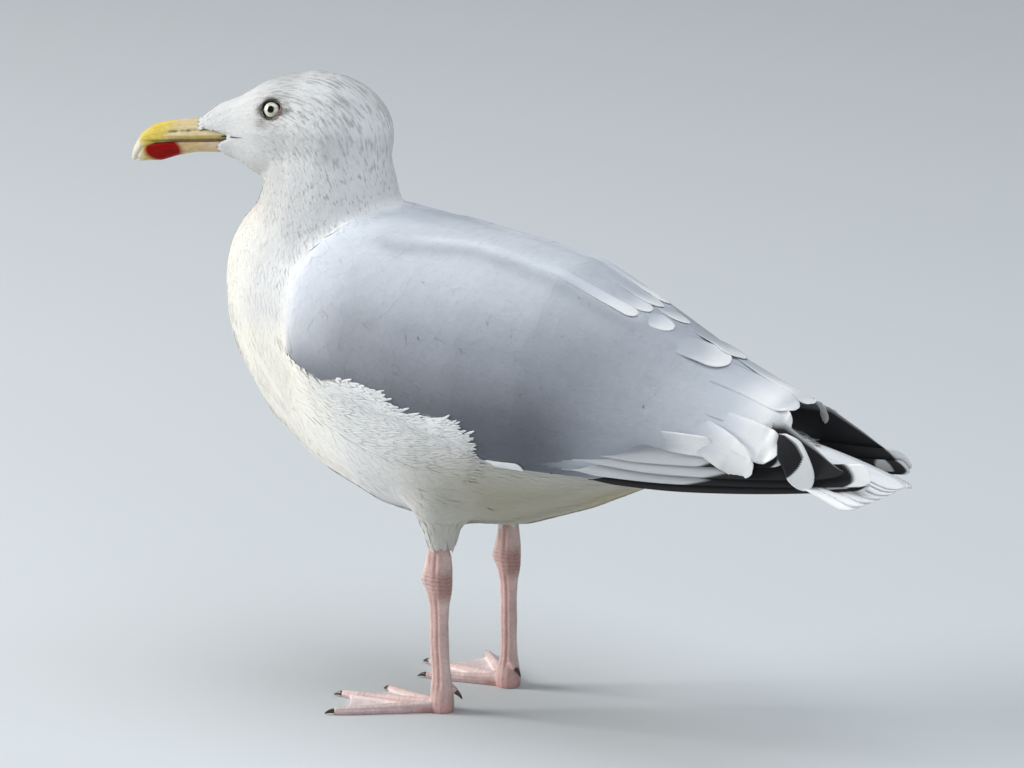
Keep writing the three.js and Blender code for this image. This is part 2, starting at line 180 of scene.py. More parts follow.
def inside(points, outline):
    """Whether points of a plane lie inside an outline."""
    x, z = points.T
    odd = np.zeros(len(points), bool)
    for (x1, z1), (x2, z2) in zip(outline, np.roll(outline, -1, 0)):
        odd ^= ((z1 > z) != (z2 > z)) & (x < (x2 - x1) * (z - z1) / (z2 - z1 + 1e-9) + x1)
    return odd


# ---- Meshes ----


def placed(name, data):
    """A new object in the scene."""
    thing = bpy.data.objects.new(name, data)
    bpy.context.scene.collection.objects.link(thing)
    return thing


def new_object(name, places, faces):
    """A smooth-shaded object from vertices in millimetres and faces with equal numbers of corners."""
    mesh = bpy.data.meshes.new(name)
    count, corners = len(faces), faces.shape[1]
    mesh.vertices.add(len(places))
    mesh.vertices.foreach_set("co", (np.asarray(places) * MM).astype(np.float32).ravel())
    mesh.loops.add(count * corners)
    mesh.loops.foreach_set("vertex_index", faces.astype(np.int32).ravel())
    mesh.polygons.add(count)
    mesh.polygons.foreach_set("loop_start", np.arange(0, count * corners, corners, dtype=np.int32))
    mesh.polygons.foreach_set("loop_total", np.full(count, corners, np.int32))
    mesh.polygons.foreach_set("use_smooth", np.ones(count, bool))
    mesh.update(calc_edges=True)
    mesh.validate()
    return placed(name, mesh)


def store(piece, **values):
    """Stores values on the vertices for the materials: the tint as a colour, the lie as a vector."""
    kinds = {"tint": ("FLOAT_COLOR", "color"), "lie": ("FLOAT_VECTOR", "vector")}
    for name, value in values.items():
        kind, key = kinds.get(name, ("FLOAT", "value"))
        if name == "tint":
            value = np.insert(value, 3, 1, axis=1)
        attribute = piece.data.attributes.new(name, kind, "POINT")
        attribute.data.foreach_set(key, np.asarray(value, np.float32).ravel())


def set_map(piece, name, places):
    """A UV map from one place for each vertex."""
    layer = piece.data.uv_layers.new(name=name)
    loops = np.zeros(len(piece.data.loops), np.int32)
    piece.data.loops.foreach_get("vertex_index", loops)
    layer.data.foreach_set("uv", np.asarray(places, np.float32)[loops].ravel())


def vectors_of(mesh, key):
    flat = np.zeros(len(mesh.vertices) * 3, np.float32)
    mesh.vertices.foreach_get(key, flat)
    return flat.reshape(-1, 3).astype(float)


def facing_of(places, quads):
    """The direction that each vertex of a mesh of quads faces."""
    a, b, c, d = (places[quads[:, i]] for i in range(4))
    face = np.cross(c - a, d - b)
    total = np.zeros_like(places)
    for corner in range(4):
        np.add.at(total, quads[:, corner], face)
    return unit(total)


def joined(nodes, size=1.0):
    """The corners and faces of several solids together, in a unit of the given size in metres."""
    corners, faces = [], []
    for node in nodes:
        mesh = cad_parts[node].data
        start = len(corners)
        corners += [tuple(v.co / size) for v in mesh.vertices]
        faces += [[start + i for i in face.vertices] for face in mesh.polygons]
    return corners, faces


WELD = 0.002   # corners of the solids that are closer than this are joined


def hull(nodes, voxel, swell, rounds):
    """One smooth closed skin round solids, swollen until they touch: its places, quads and normals."""
    corners, faces = joined(nodes)
    mesh = bpy.data.meshes.new("hull")
    mesh.from_pydata(corners, [], faces)
    body = placed("hull", mesh)
    weld = body.modifiers.new("weld", "WELD")
    weld.merge_threshold = WELD * MM
    grow = body.modifiers.new("grow", "DISPLACE")
    grow.strength, grow.mid_level = swell * MM, 0
    remesh = body.modifiers.new("remesh", "REMESH")
    remesh.mode, remesh.voxel_size = "VOXEL", voxel * MM
    smooth = body.modifiers.new("smooth", "SMOOTH")
    smooth.factor, smooth.iterations = 0.5, rounds
    shaped = body.evaluated_get(bpy.context.evaluated_depsgraph_get())
    final = bpy.data.meshes.new_from_object(shaped)
    quads = np.array([tuple(face.vertices) for face in final.polygons if len(face.vertices) == 4])
    result = vectors_of(final, "co") / MM, quads, vectors_of(final, "normal")
    bpy.data.objects.remove(body)
    return result


class Surface:
    """A smooth surface that feathers grow on: it says where its nearest point is and which way it faces."""

    TRIALS = 4     # points tried for each square of the spacing
    CELL = 0.8     # size of the cells that are thinned to one point each, in spacings
    APART = 0.72   # the least distance between the points that stay, in spacings
    SOFTEN = 0.05  # keeps a corner right under a point from having all the weight

    def __init__(self, places, quads, normals=None):
        self.places, self.quads = places, quads
        self.normals = facing_of(places, quads) if normals is None else normals
        self.tree = BVHTree.FromPolygons(places.tolist(), quads.tolist())

    def nearest(self, points):
        shape = points.shape
        found = [self.tree.find_nearest(Vector(p)) for p in points.reshape(-1, 3).tolist()]
        near = np.array([tuple(hit[0]) for hit in found])
        corners = self.quads[[hit[2] for hit in found]]
        away = np.linalg.norm(self.places[corners] - near[:, None], axis=2)
        weight = 1 / (away + self.SOFTEN) ** 2
        facing = unit((self.normals[corners] * weight[..., None]).sum(1))
        return near.reshape(shape), facing.reshape(shape)

    def scatter(self, spacing, keep):
        """Evenly spread random points on the faces whose middles keep() accepts, about spacing apart."""
        middles = self.places[self.quads].mean(1)
        quads = self.quads[keep(middles)]
        a, b, c, d = (self.places[quads[:, i]] for i in range(4))
        area = np.linalg.norm(np.cross(c - a, d - b), axis=1) / 2
        count = int(area.sum() / spacing ** 2 * self.TRIALS)
        pick = rng.choice(len(quads), count, p=area / area.sum())
        u, v = rng.random((2, count, 1))
        points = (a[pick] * (1 - u) + b[pick] * u) * (1 - v) + (d[pick] * (1 - u) + c[pick] * u) * v
        cells = np.floor(points / (spacing * self.CELL)).astype(int)
        _, first = np.unique(cells, axis=0, return_index=True)
        points = points[np.sort(first)]
        points = points[rng.permutation(len(points))]
        tree = KDTree(len(points))
        for i, point in enumerate(points.tolist()):
            tree.insert(point, i)
        tree.balance()
        gone = np.zeros(len(points), bool)
        for i, point in enumerate(points.tolist()):
            if not gone[i]:
                for _, j, _ in tree.find_range(point, spacing * self.APART):
                    if j != i:
                        gone[j] = True
        return points[~gone]


# ---- The lie of the plumage ----

# The line that the feathers follow: from the bill through the head, down the neck and along the back.
SPINE = np.array([
    from_head((-78, 0, -3)), from_head((-50, 0, -1)), from_head((-24, 0, 3)), from_head((-6, 0, 0)),
    (-128, 0, 268), (-124, 0, 243), (-108, 0, 219), (-78, 0, 203), (-30, 0, 190),
    (30, 0, 183), (90, 0, 175), (150, 0, 164), (236, 0, 151),
])


class Lie:
    """Body coordinates: the distance along the spine, the angle round it from the back, and the lie."""

    BATCH = 40000          # points worked out at a time
    BLEND = 8, 0.45        # how widely the line is averaged, at the line and more for each millimetre away
    LEAD = 0.5             # how much of a point's way ahead of its place on the line counts as distance

    def __init__(self, knots, step=4.0):
        closed = np.vstack([2 * knots[0] - knots[1], knots, 2 * knots[-1] - knots[-2]])
        line = []
        for a, b, c, d in zip(closed, closed[1:], closed[2:], closed[3:]):
            for t in np.linspace(0, 1, max(2, int(np.linalg.norm(c - b) / step)), endpoint=False):
                line.append(0.5 * (2 * b + (c - a) * t + (2 * a - 5 * b + 4 * c - d) * t ** 2
                                   + (3 * b - a - 3 * c + d) * t ** 3))
        self.line = np.array(line)
        gaps = np.linalg.norm(np.diff(self.line, axis=0), axis=1)
        self.along = np.concatenate([[0], np.cumsum(gaps)])
        self.heading = unit(np.gradient(self.line, axis=0))

    def at(self, points):
        parts = [self._at(points[i:i + self.BATCH]) for i in range(0, len(points), self.BATCH)]
        return tuple(np.concatenate(values) for values in zip(*parts))

    def _at(self, points):
        gap2 = ((points[:, None] - self.line) ** 2).sum(2)
        reach = np.sqrt(gap2.min(1, keepdims=True))
        width = self.BLEND[0] + self.BLEND[1] * reach
        weight = np.exp(-(gap2 - gap2.min(1, keepdims=True)) / (2 * width ** 2))
        weight /= weight.sum(1, keepdims=True)
        centre, heading, along = weight @ self.line, unit(weight @ self.heading), weight @ self.along
        side = unit(np.array([0, 1, 0]) - heading * heading[:, 1:2])
        top = np.cross(heading, side)
        out = points - centre
        angle = np.arctan2((out * side).sum(1), (out * top).sum(1))
        return along + (out * heading).sum(1) * self.LEAD, angle, heading


lie = Lie(SPINE)
SPINE_LENGTH = lie.along[-1]
AROUND = 30.0  # millimetres of feather lines for each radian round the body

# ---- Surfaces ----

# The fold along the left scapulars, from the shoulder to the tips.
RIDGE = np.array([(-58, -28, 252), (-18, -17, 251), (35, -18, 244), (59, -16, 236), (80, -14, 227)], float)

# The loose flank feathers that fall over the front of the folded wing, seen from the side: their upper edge,
# and then back along the breast and belly, where they begin.
FLANK = np.array([
    (-120, 198), (-100, 187), (-82, 181), (-66, 184), (-43, 181), (-36, 172), (-22, 171), (-4, 171), (7, 163),
    (9, 155), (4, 144), (-6, 128), (-60, 122), (-112, 146), (-140, 185)], float)
FLANK_RISE = 0.9
FLANK_OUT = 30   # how far from the middle of the body the flanks begin


def from_ridge(points):
    """The distance of points from the fold on their side of the body, and how far outside it they lie."""
    left = np.array(points)
    left[:, 1] = -np.abs(left[:, 1])
    best = np.full(len(points), np.inf)
    outside = np.zeros(len(points))
    for a, b in zip(RIDGE, RIDGE[1:]):
        away = from_segment(left, a, b)
        reach = np.linalg.norm(away, axis=1)
        outside = np.where(reach < best, -away[:, 1], outside)
        best = np.minimum(best, reach)
    return best, outside


def on_flank(points):
    """How far points lie inside the outline of the flank feathers, or 0 outside it."""
    flat = points[:, [0, 2]]
    sides = zip(FLANK, np.roll(FLANK, -1, 0))
    depth = np.min([np.linalg.norm(from_segment(flat, a, b), axis=1) for a, b in sides], axis=0)
    return np.where(inside(flat, FLANK) & (np.abs(points[:, 1]) > FLANK_OUT), depth, 0)


white_tree = BVHTree.FromPolygons(*joined(WHITE_NODES, MM))
grey_tree = BVHTree.FromPolygons(*joined(WING_NODES + TERTIAL_NODES, MM))


def greyness(points):
    """How grey the plumage is: 0 on the white body, 1 on the mantle and wings, with a soft edge in front."""
    flat = [Vector(p) for p in points.tolist()]
    deep = np.array([white_tree.find_nearest(p)[3] - grey_tree.find_nearest(p)[3] for p in flat])
    soft = 1.2 + 7 * field(points, x=(-55, -80), z=(175, 200))
    return ease(0, soft, deep) * ease(1.2, 0, on_flank(points))


def plumage(nodes, voxel, rounds, swell=0.5, rise=COAT_RISE):
    """The plumage's outer surface round some solids, with the fold along the scapulars."""
    places, quads, normals = hull(nodes, voxel, swell, rounds)
    fold = RIDGE_RISE * bell(from_ridge(places)[0], 0, RIDGE_WIDTH)
    return Surface(places + normals * (rise + fold)[:, None], quads)


def plumped(surface, full):
    """A surface whose flanks are filled out to a fuller one."""
    near, _ = full.nearest(surface.places)
    out = ((near - surface.places) * surface.normals).sum(1)
    share = ease(0, 5, on_flank(surface.places))
    rise = np.maximum(out + FLANK_RISE, 0) * share
    return Surface(surface.places + surface.normals * rise[:, None], surface.quads)


def calmed(surface, rounds=40):
    """A surface whose facing is evened out over the white body, where the solids' sections would show."""
    edges = np.vstack([surface.quads[:, [i, (i + 1) % 4]] for i in range(4)])
    size = len(surface.places)
    count = np.maximum(np.bincount(edges[:, 0], minlength=size), 1)[:, None]
    even = surface.normals
    for _ in range(rounds):
        total = [np.bincount(edges[:, 0], even[edges[:, 1], k], minlength=size) for k in range(3)]
        even = unit(even + np.stack(total, -1) / count)
    below_head = ease(95, 130, lie.at(surface.places)[0])
    share = below_head * (1 - greyness(surface.places))
    return Surface(surface.places, surface.quads, unit(mix(surface.normals, even, share)))


full = plumage(WHITE_NODES + WING_NODES, voxel=2.5, rounds=60)
coat = calmed(plumped(plumage(WHITE_NODES + WING_NODES + TERTIAL_NODES, voxel=2.0, rounds=14), full))
under_coat = plumped(plumage(WHITE_NODES + WING_NODES, voxel=1.8, rounds=14), full)
face = plumage(FACE_NODES, voxel=0.9, rounds=12, swell=0.35)
rump = plumage(["trunk"], voxel=2.0, rounds=10)
thighs = plumage(THIGH_NODES, voxel=1.3, rounds=24, swell=0.4, rise=0.5)

# ---- Face and eyes ----

# The bare bill and gape, seen from the side in the head's frame: no feathers grow inside this outline.
BARE = np.array([(-73.5, 30), (-73.5, 6.3), (-72, 2), (-63, 2.2), (-57, 1.2), (-45.7, 0.2), (-57, -3.7),
                 (-61, -7), (-59, -10), (-59, -30), (-140, -30), (-140, 30)])
BALL_RADIUS = 7.7
BALL_OUT, BALL_DROP = 15.4, 0.55   # how far out, and below the middle of the eyes, a ball's centre lies
LOOK_UP = 0.25                     # how far up each eye looks for 1 sideways
IRIS_RADIUS = 4.1
EYE_EDGE, EYE_LONG = 5.05, 1.2     # half the height of the bare ring, and its length for its height
PARTING = 18                       # how far from an eye the feathers still part
FAR = 99                           # the distance given to points on the other side of the head


def on_bill(points):
    return inside(in_head(points)[:, [0, 2]], BARE)


class Gaze:
    """One eye: the centre of its ball, its line of sight, and the plane across that line."""

    def __init__(self, mirror):
        self.centre = from_head((EYE_IN_HEAD[0], mirror * BALL_OUT, EYE_IN_HEAD[2] - BALL_DROP))
        self.axis = unit(HEAD_TURN @ np.array((0, mirror, LOOK_UP)))
        front = HEAD_TURN @ np.array((-1.0, 0, 0))
        self.front = unit(front - self.axis * (front @ self.axis))
        self.above = np.cross(self.front, self.axis) * -mirror

    def plane(self, points):
        """How far points lie ahead of the line of sight, above it, and out along it."""
        away = points - self.centre
        return away @ self.front, away @ self.above, away @ self.axis

    def flat(self, points):
        """Points on the eye's side of the head, laid flat on the plane, and the others far off it."""
        ahead, above, out = self.plane(points)
        return np.stack([ahead, above, np.where(out > 0, 0, FAR)], -1)

    def place(self, ahead, above, out):
        return (self.centre + self.front * ahead[..., None] + self.above * above[..., None]
                + self.axis * out[..., None])

    def outward(self, points):
        """The distance from the line of sight, with the lids' length taken out, and the way out from it."""
        ahead, above, out = self.plane(points)
        reach = np.where(out > 0, np.hypot(ahead / EYE_LONG, above), FAR)
        away = self.front * (ahead / EYE_LONG)[:, None] + self.above * above[:, None]
        return reach, unit(away)


GAZES = {side: Gaze(mirror) for side, mirror in PAIR}


def round_eyes(points, heading):
    """Parts the lie of the feathers in front of each eye and closes it behind."""
    for gaze in GAZES.values():
        reach, away = gaze.outward(points)
        share = (np.minimum((EYE_EDGE / reach) ** 2, 1) * (reach < PARTING))[:, None]
        heading = heading - share * (2 * (heading * away).sum(1, keepdims=True) * away - heading)
    return heading


def out_of_eyes(points):
    """Moves points that lie on the bare ring of an eye out to its edge."""
    for gaze in GAZES.values():
        reach, away = gaze.outward(points)
        points = points + away * np.maximum(EYE_EDGE - reach, 0)[:, None]
    return points


def clear_of_eyes(points):
    return np.min([gaze.outward(points)[0] for gaze in GAZES.values()], axis=0) > EYE_EDGE + 0.1


# ---- Markings, with painted light and shade ----

# Dark marks round each eye: how pale and how strong they are, and their middles and radii on the eye's plane.
EYE_MARKS = (
    (1.6, 0.6, (-0.3, 0.2, 0), (8.4, 7.2, 9)),
    (1.0, 0.95, (7.0, 0.0, 0), (4.2, 4.8, 9)),
    (1.5, 0.8, (1, 6.0, 0), (8.5, 1.9, 9)),
    (1.3, 0.85, (-8.5, -0.2, 0), (6.5, 2.8, 9)),
    (3.0, 0.40, (4.5, -8.0, 0), (7.5, 4.5, 9)),
)


def eye_tint(tint, near):
    """Adds the marks round one eye, and a dark rim along its lids with a rusty rear corner."""
    for paleness, strength, centre, radii in EYE_MARKS:
        tint = mix(tint, SMUDGE_AND_SHADE * paleness, strength * spot(near, centre, radii))
    ahead, above, off = near.T
    rim = mix(np.broadcast_to(SMUDGE_AND_SHADE * 0.3, tint.shape), RUST, ease(-3.5, -5.5, ahead))
    return mix(tint, rim, 0.92 * ease(6.7, 5.5, np.hypot(ahead / EYE_LONG, above)) * (off < FAR))


def white_tint(points):
    """The colour of the white plumage, the same on skin and feathers, with painted light and shade."""
    head = in_head(points)
    x, _, z = points.T
    breast = np.maximum(field(points, x=(-125, -165), z=(285, 255)),
                        field(points, x=(-60, -110), z=(215, 190)))
    front = ease(-120, -150, x)
    # painted shade on the front of the neck, under the head
    painted_throat_shade = front * (0.02 * ease(215, 240, z) + 0.23 * ease(240, 265, z))
    collar = field(points, z=(225, 245, 290, 265)) * (1 - front)
    vent = spot(points, (75, 0, 120), (45, 40, 24))
    crown = field(head, x=(-45, -22), z=(8, 22))
    cheek = field(head, x=(-38, -18, 30, 10), z=(-16, -4, 14, 6))
    # painted shade under the head
    under = field(head, z=(-8, -15), x=(-60, -45, 10, -5))
    # the breast's warm cream tone, brightened with painted light
    tint = layered(np.repeat(WHITE[None], len(points), 0), (LIT_CREAM, 0.9 * breast))
    tint = darker(darker(tint, painted_throat_shade), 0.08 * collar)
    # the belly's dull tone with painted shade low on the underside, and an ochre stain round the vent
    tint = layered(tint, (DULL_SHADED_BELLY, 0.95 * field(points, x=(-80, 10), z=(170, 125))), (OCHRE, 0.7 * vent))
    # dusky crown and cheeks, and painted shade under the head
    tint = darker(tint, 0.18 * crown + 0.14 * cheek + 0.14 * under)
    for gaze in GAZES.values():
        tint = eye_tint(tint, gaze.flat(points))
    return tint


def grey_tint(points):
    """Mantle and wing colour: painted light along the back, painted shade low on the wing, whitish behind."""
    reach, outside = from_ridge(points)
    x, _, z = points.T
    # A painted highlight along the fold, and painted shade just outside and below it.
    fold = bell(reach, 0, RIDGE_WIDTH) * ease(-62, -40, x)
    painted_shade_beside_fold = bell(outside, 8, 6.0) * ease(22, 8, reach) * ease(200, 220, z)
    return layered(
        np.repeat(GREY[None], len(points), 0),
        # painted light on the top of the back
        (PALE_GREY, 0.88 * ease(205, 250, z)),
        # painted shade low on the wing
        (SHADED_WING_GREY, 0.95 * field(points, z=(212, 165), x=(95, 40))),
        # painted highlight along the fold
        (PALE_GREY * 1.25, 0.9 * fold),
        # painted shade just outside the fold
        (GREY, 0.5 * painted_shade_beside_fold),
        (PALE_GREY * 1.1, 0.8 * ease(55, 165, x + 0.25 * (190 - z))),
        (PALE_GREY * 1.25, 0.82 * field(points, x=(-60, -108), z=(180, 215))),
    )


def coat_tint(points):
    return mix(white_tint(points), grey_tint(points), greyness(points))


def streaks(points):
    """How strong and how dense the dark streaks are: on the crown, cheeks and hindneck, and on the collar."""
    head = in_head(points)
    angle = np.abs(lie.at(points)[1])
    crown = field(head, x=(-46, -24), z=(0, 14))
    cheek = field(head, x=(-38, -22), z=(-17, -6, 12, 4))
    hindneck = field(points, z=(296, 278), x=(-146, -118)) * ease(1.9, 1.1, angle)
    collar = field(points, z=(280, 262, 215, 238)) * ease(2.5, 1.5, angle)
    strength = np.maximum.reduce([0.62 * crown, 0.48 * cheek, 0.72 * hindneck, 0.55 * collar])
    density = 0.04 * crown + 0.025 * cheek - 0.035 * hindneck - 0.03 * collar
    for gaze in GAZES.values():
        close = spot(gaze.flat(points), (2, -5, 0), (12, 9, 9))
        strength, density = np.maximum(strength, 0.75 * close), density + 0.05 * close
    return np.clip(strength, 0, 1) * (greyness(points) < 0.2), density


# ---- Materials ----


class Shader:
    """A material whose nodes are added by short calls."""

    USUAL = 0.3, 0.7   # the range that most of a noise falls in

    def __init__(self, name):
        self.material = bpy.data.materials.new(name)
        self.material.use_nodes = True
        self.tree = self.material.node_tree
        self.surface = self.tree.nodes["Principled BSDF"]

    def node(self, kind, inputs=None, output=0, **settings):
        node = self.tree.nodes.new(kind)
        for name, value in settings.items():
            setattr(node, name, value)
        for key, value in (inputs or {}).items():
            self.set(node.inputs[key], value)
        return node.outputs[output]

    def set(self, socket, value):
        if isinstance(value, bpy.types.NodeSocket):
            self.tree.links.new(value, socket)
        else:
            socket.default_value = value

    def finish(self, **inputs):
        for key, value in inputs.items():
            self.set(self.surface.inputs[key.replace("_", " ")], value)
        return self.material

    def attribute(self, name, output="Vector"):
        return self.node("ShaderNodeAttribute", output=output, attribute_name=name)

    def math(self, operation, *values):
        return self.node("ShaderNodeMath", dict(enumerate(values)), operation=operation)

    def range(self, value, low, high, to_low=0.0, to_high=1.0):
        return self.node("ShaderNodeMapRange", {0: value, 1: low, 2: high, 3: to_low, 4: to_high})

    def spread(self, noise, low, high):
        """A noise stretched from its usual range over another one."""
        return self.range(noise, *self.USUAL, low, high)

    def scaled(self, vector, scale):
        return self.node("ShaderNodeVectorMath", {0: vector, 1: scale}, operation="MULTIPLY")

    def noise(self, vector, scale, detail=2.0, roughness=0.5):
        return self.node("ShaderNodeTexNoise", {"Vector": self.scaled(vector, scale), "Scale": 1.0,
                                                "Detail": detail, "Roughness": roughness})

    def blend(self, share, a, b, mode="MIX"):
        node = self.tree.nodes.new("ShaderNodeMix")
        node.data_type, node.blend_type = "RGBA", mode
        for socket, value in ((node.inputs[0], share), (node.inputs[6], a), (node.inputs[7], b)):
            self.set(socket, value)
        return node.outputs[2]

    def shaded(self, colour, noise, low, high):
        """A colour made darker and lighter by a noise."""
        return self.blend(1.0, colour, self.spread(noise, low, high), "MULTIPLY")

    def bump(self, height, strength, distance):
        return self.node("ShaderNodeBump", {"Height": height, "Strength": strength,
                                            "Distance": distance * MM})


def plumage_material(name, contrast, roughness):
    """Feathers: their tint, dark streaks along the lie, and fine barbs that catch the light."""
    shader = Shader(name)
    lines = shader.attribute("lie")
    tint = shader.attribute("tint", "Color")
    fine = shader.noise(lines, (1.5, 0.16, 0.0), 3.0, 0.6)
    broad = shader.noise(lines, (0.16, 0.05, 0.0))
    colour = shader.shaded(tint, fine, 1 - contrast, 1 + contrast * 0.6)
    colour = shader.shaded(colour, broad, 0.97, 1.02)
    dashes = shader.noise(lines, (1.05, 0.2, 0.0))
    blotches = shader.noise(lines, (0.10, 0.07, 0.0), 1.0)
    density = shader.node("ShaderNodeSeparateXYZ", {0: lines}, output=2)
    level = shader.math("ADD", dashes, shader.spread(blotches, -0.05, 0.05))
    level = shader.math("ADD", level, density)
    dark = shader.math("MULTIPLY", shader.range(level, 0.50, 0.70), shader.attribute("streak", "Fac"))
    colour = shader.blend(dark, colour, STREAK)
    height = shader.math("ADD", fine, shader.math("MULTIPLY", broad, 0.4))
    return shader.finish(Base_Color=colour, Roughness=roughness, Sheen_Weight=0.15, Sheen_Roughness=0.5,
                         Specular_IOR_Level=0.2, Normal=shader.bump(height, 0.35, 0.4))


white_plumage = plumage_material("white_plumage", 0.05, 0.8)
grey_plumage = plumage_material("grey_plumage", 0.035, 0.65)

# ---- Feathers ----


class Vanes:
    """A batch of feather blades on one piece. Each blade is a grid of points from root to tip."""

    def __init__(self, name, material, slot, replaces=(), thickness=0.0):
        self.name, self.material, self.slot = name, material, slot
        self.replaces, self.thickness = replaces, thickness
        self.places, self.tints, self.lies, self.streaks, self.patches = [], [], [], [], []
        self.faces, self.facing = [], []
        self.total = 0

    def add(self, grid, tints, lies, streak, patch, facing=None):
        """Takes blades as arrays of blades x rows x columns; patch is their place on the unwrapped skin."""
        blades, rows, columns = grid.shape[:3]
        index = np.arange(rows * columns).reshape(rows, columns)
        quads = np.stack([index[:-1, :-1], index[1:, :-1], index[1:, 1:], index[:-1, 1:]], -1).reshape(-1, 4)
        starts = self.total + np.arange(blades)[:, None, None] * rows * columns
        self.faces.append((quads[None] + starts).reshape(-1, 4))
        self.total += blades * rows * columns
        self.places.append(grid.reshape(-1, 3))
        self.tints.append(np.broadcast_to(tints, grid.shape).reshape(-1, 3))
        self.lies.append(lies.reshape(-1, 3))
        self.streaks.append(np.broadcast_to(streak, grid.shape[:3]).reshape(-1))
        self.patches.append(np.broadcast_to(patch, grid.shape[:3] + (2,)).reshape(-1, 2))
        if facing is not None:
            self.facing.append(facing.reshape(-1, 3))

    def finish(self):
        piece = new_object(self.name, np.concatenate(self.places), np.concatenate(self.faces))
        tints, lies, marks = (np.concatenate(part) for part in (self.tints, self.lies, self.streaks))
        store(piece, tint=tints, lie=lies, streak=marks)
        set_map(piece, "OFBake", np.concatenate(self.patches))
        if self.facing:
            piece.data.normals_split_custom_set_from_vertices(np.concatenate(self.facing).tolist())
        if self.thickness:
            solid = piece.modifiers.new("solid", "SOLIDIFY")
            solid.thickness, solid.offset = self.thickness * MM, -1
        finish_piece(piece, self.material, self.slot, self.replaces)


def finish_piece(piece, material, slot, replaces=()):
    piece.data.materials.append(material)
    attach(piece, "root")
    if replaces:
        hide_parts(*replaces)


PATCH = 0.003          # size of a blade's patch on the unwrapped skin
UNWRAP = 0.98, 0.01    # the share of the sheet that the unwrapped skin takes, and its margin
LENGTH_SPREAD, WIDTH_SPREAD = (0.1, 0.75, 1.3), (0.08, 0.8, 1.25)   # how feathers differ: spread, least, most
TINT_SPREAD = (0.012, 0.96, 1.03)


def varied(spread, count):
    """Random factors near 1, one for each feather."""
    size, least, most = spread
    return rng.normal(1, size, count).clip(least, most)


def closing(rows, power):
    """Steps from 0 at the root to 1 at the tip, closer together towards the tip."""
    return 1 - (1 - np.linspace(0, 1, rows + 1)) ** power


def patches(along, angle, across, down):
    """A small patch for each blade at its root's place on the skin, unrolled along the spine."""
    share, margin = UNWRAP
    root = np.stack([0.5 + angle / (2 * math.pi) * share, along / SPINE_LENGTH * share + margin], -1)
    offset = np.stack(np.broadcast_arrays(across * 0.5, down - 0.5), -1) * PATCH
    return root[:, None, None] + offset


def contour(vanes, surface, roots, length, width, *, lift, rows=4, columns=2, curl=0.05, scatter=7, down=0.0,
            point=1.0, swell=0.12, fringe=0.0, tint=None, loose=0.012, wrap=False):
    """Lays small feathers over a surface, each following it along the lie of the plumage."""
    count = len(roots)
    length = np.broadcast_to(length, count) * varied(LENGTH_SPREAD, count)
    width = np.broadcast_to(width, count) * varied(WIDTH_SPREAD, count)
    sway = np.radians(rng.normal(0, scatter, count))[:, None]
    t = closing(rows, 1.6)
    # The width at each row: narrow at the root, and round or pointed at the tip.
    profile = np.sqrt(t + 0.12) * np.sqrt(np.maximum(1 - t ** (2.2 + 2 * point), 0.004))
    profile = profile / profile.max()
    c = np.linspace(-1, 1, columns + 1)
    low, high = lift
    height = low + (high + rng.normal(0, loose, count) - low)[:, None] * t ** 0.8
    grid = np.zeros((count, rows + 1, columns + 1, 3))
    facing = np.zeros_like(grid)
    centres = np.zeros((count, rows + 1, 3))
    place, normal = surface.nearest(roots)
    heading = lie.at(roots)[2] + np.array([0, 0, -1.0]) * down
    for row in range(rows + 1):
        bent = round_eyes(place, heading)
        ahead = unit(bent - normal * (bent * normal).sum(1, keepdims=True))
        side = np.cross(normal, ahead)
        ahead = ahead * np.cos(sway) + side * np.sin(sway)
        side = np.cross(normal, ahead)
        across = (width / 2 * profile[row])[:, None] * c
        under, above = place[:, None] + side[:, None] * across[..., None], normal[:, None]
        if wrap:
            under, above = surface.nearest(under)
        rise = height[:, row][:, None] - curl * np.abs(across * c)
        grid[:, row] = under + above * rise[..., None]
        facing[:, row] = unit(above + side[:, None] * c[None, :, None] * swell)
        centres[:, row] = place
        if row < rows:
            step = (t[row + 1] - t[row]) * length[:, None]
            place, normal = surface.nearest(out_of_eyes(place + ahead * step))
    flat = centres.reshape(-1, 3)
    along, angle, _ = (value.reshape(count, rows + 1, *value.shape[1:]) for value in lie.at(flat))
    around = angle[..., None] * AROUND + (width / 2)[:, None, None] * profile[None, :, None] * c
    marks, density = (value.reshape(count, rows + 1, 1) for value in streaks(flat))
    lies = np.stack([around, along[..., None] + 0 * around, density + 0 * around], -1)
    spots = grid if wrap else centres[:, :, None]
    tints = (tint or coat_tint)(spots.reshape(-1, 3)).reshape(spots.shape)
    tints = tints * varied(TINT_SPREAD, count)[:, None, None, None]
    edge = np.maximum(ease(0.75, 1.0, t)[:, None], ease(0.55, 1.0, np.abs(c)))[None, :, :, None]
    tints = tints * (1 + fringe * edge)
    sheet = patches(along[:, 0], angle[:, 0], c[None, None], t[None, :, None])
    vanes.add(grid, tints, lies, marks, sheet, facing)


def shaft(points, t):
    """Places along the smooth curve through three points, and its direction there."""
    a, b, c = (np.array(point, float) for point in points)
    m = np.linalg.norm(b - a) / (np.linalg.norm(b - a) + np.linalg.norm(c - b))
    t = t[:, None]
    place = a * (t - m) * (t - 1) / m + b * t * (t - 1) / (m * (m - 1)) + c * t * (t - m) / (1 - m)
    ahead = a * (2 * t - m - 1) / m + b * (2 * t - 1) / (m * (m - 1)) + c * (2 * t - m) / (1 - m)
    return place, unit(ahead)


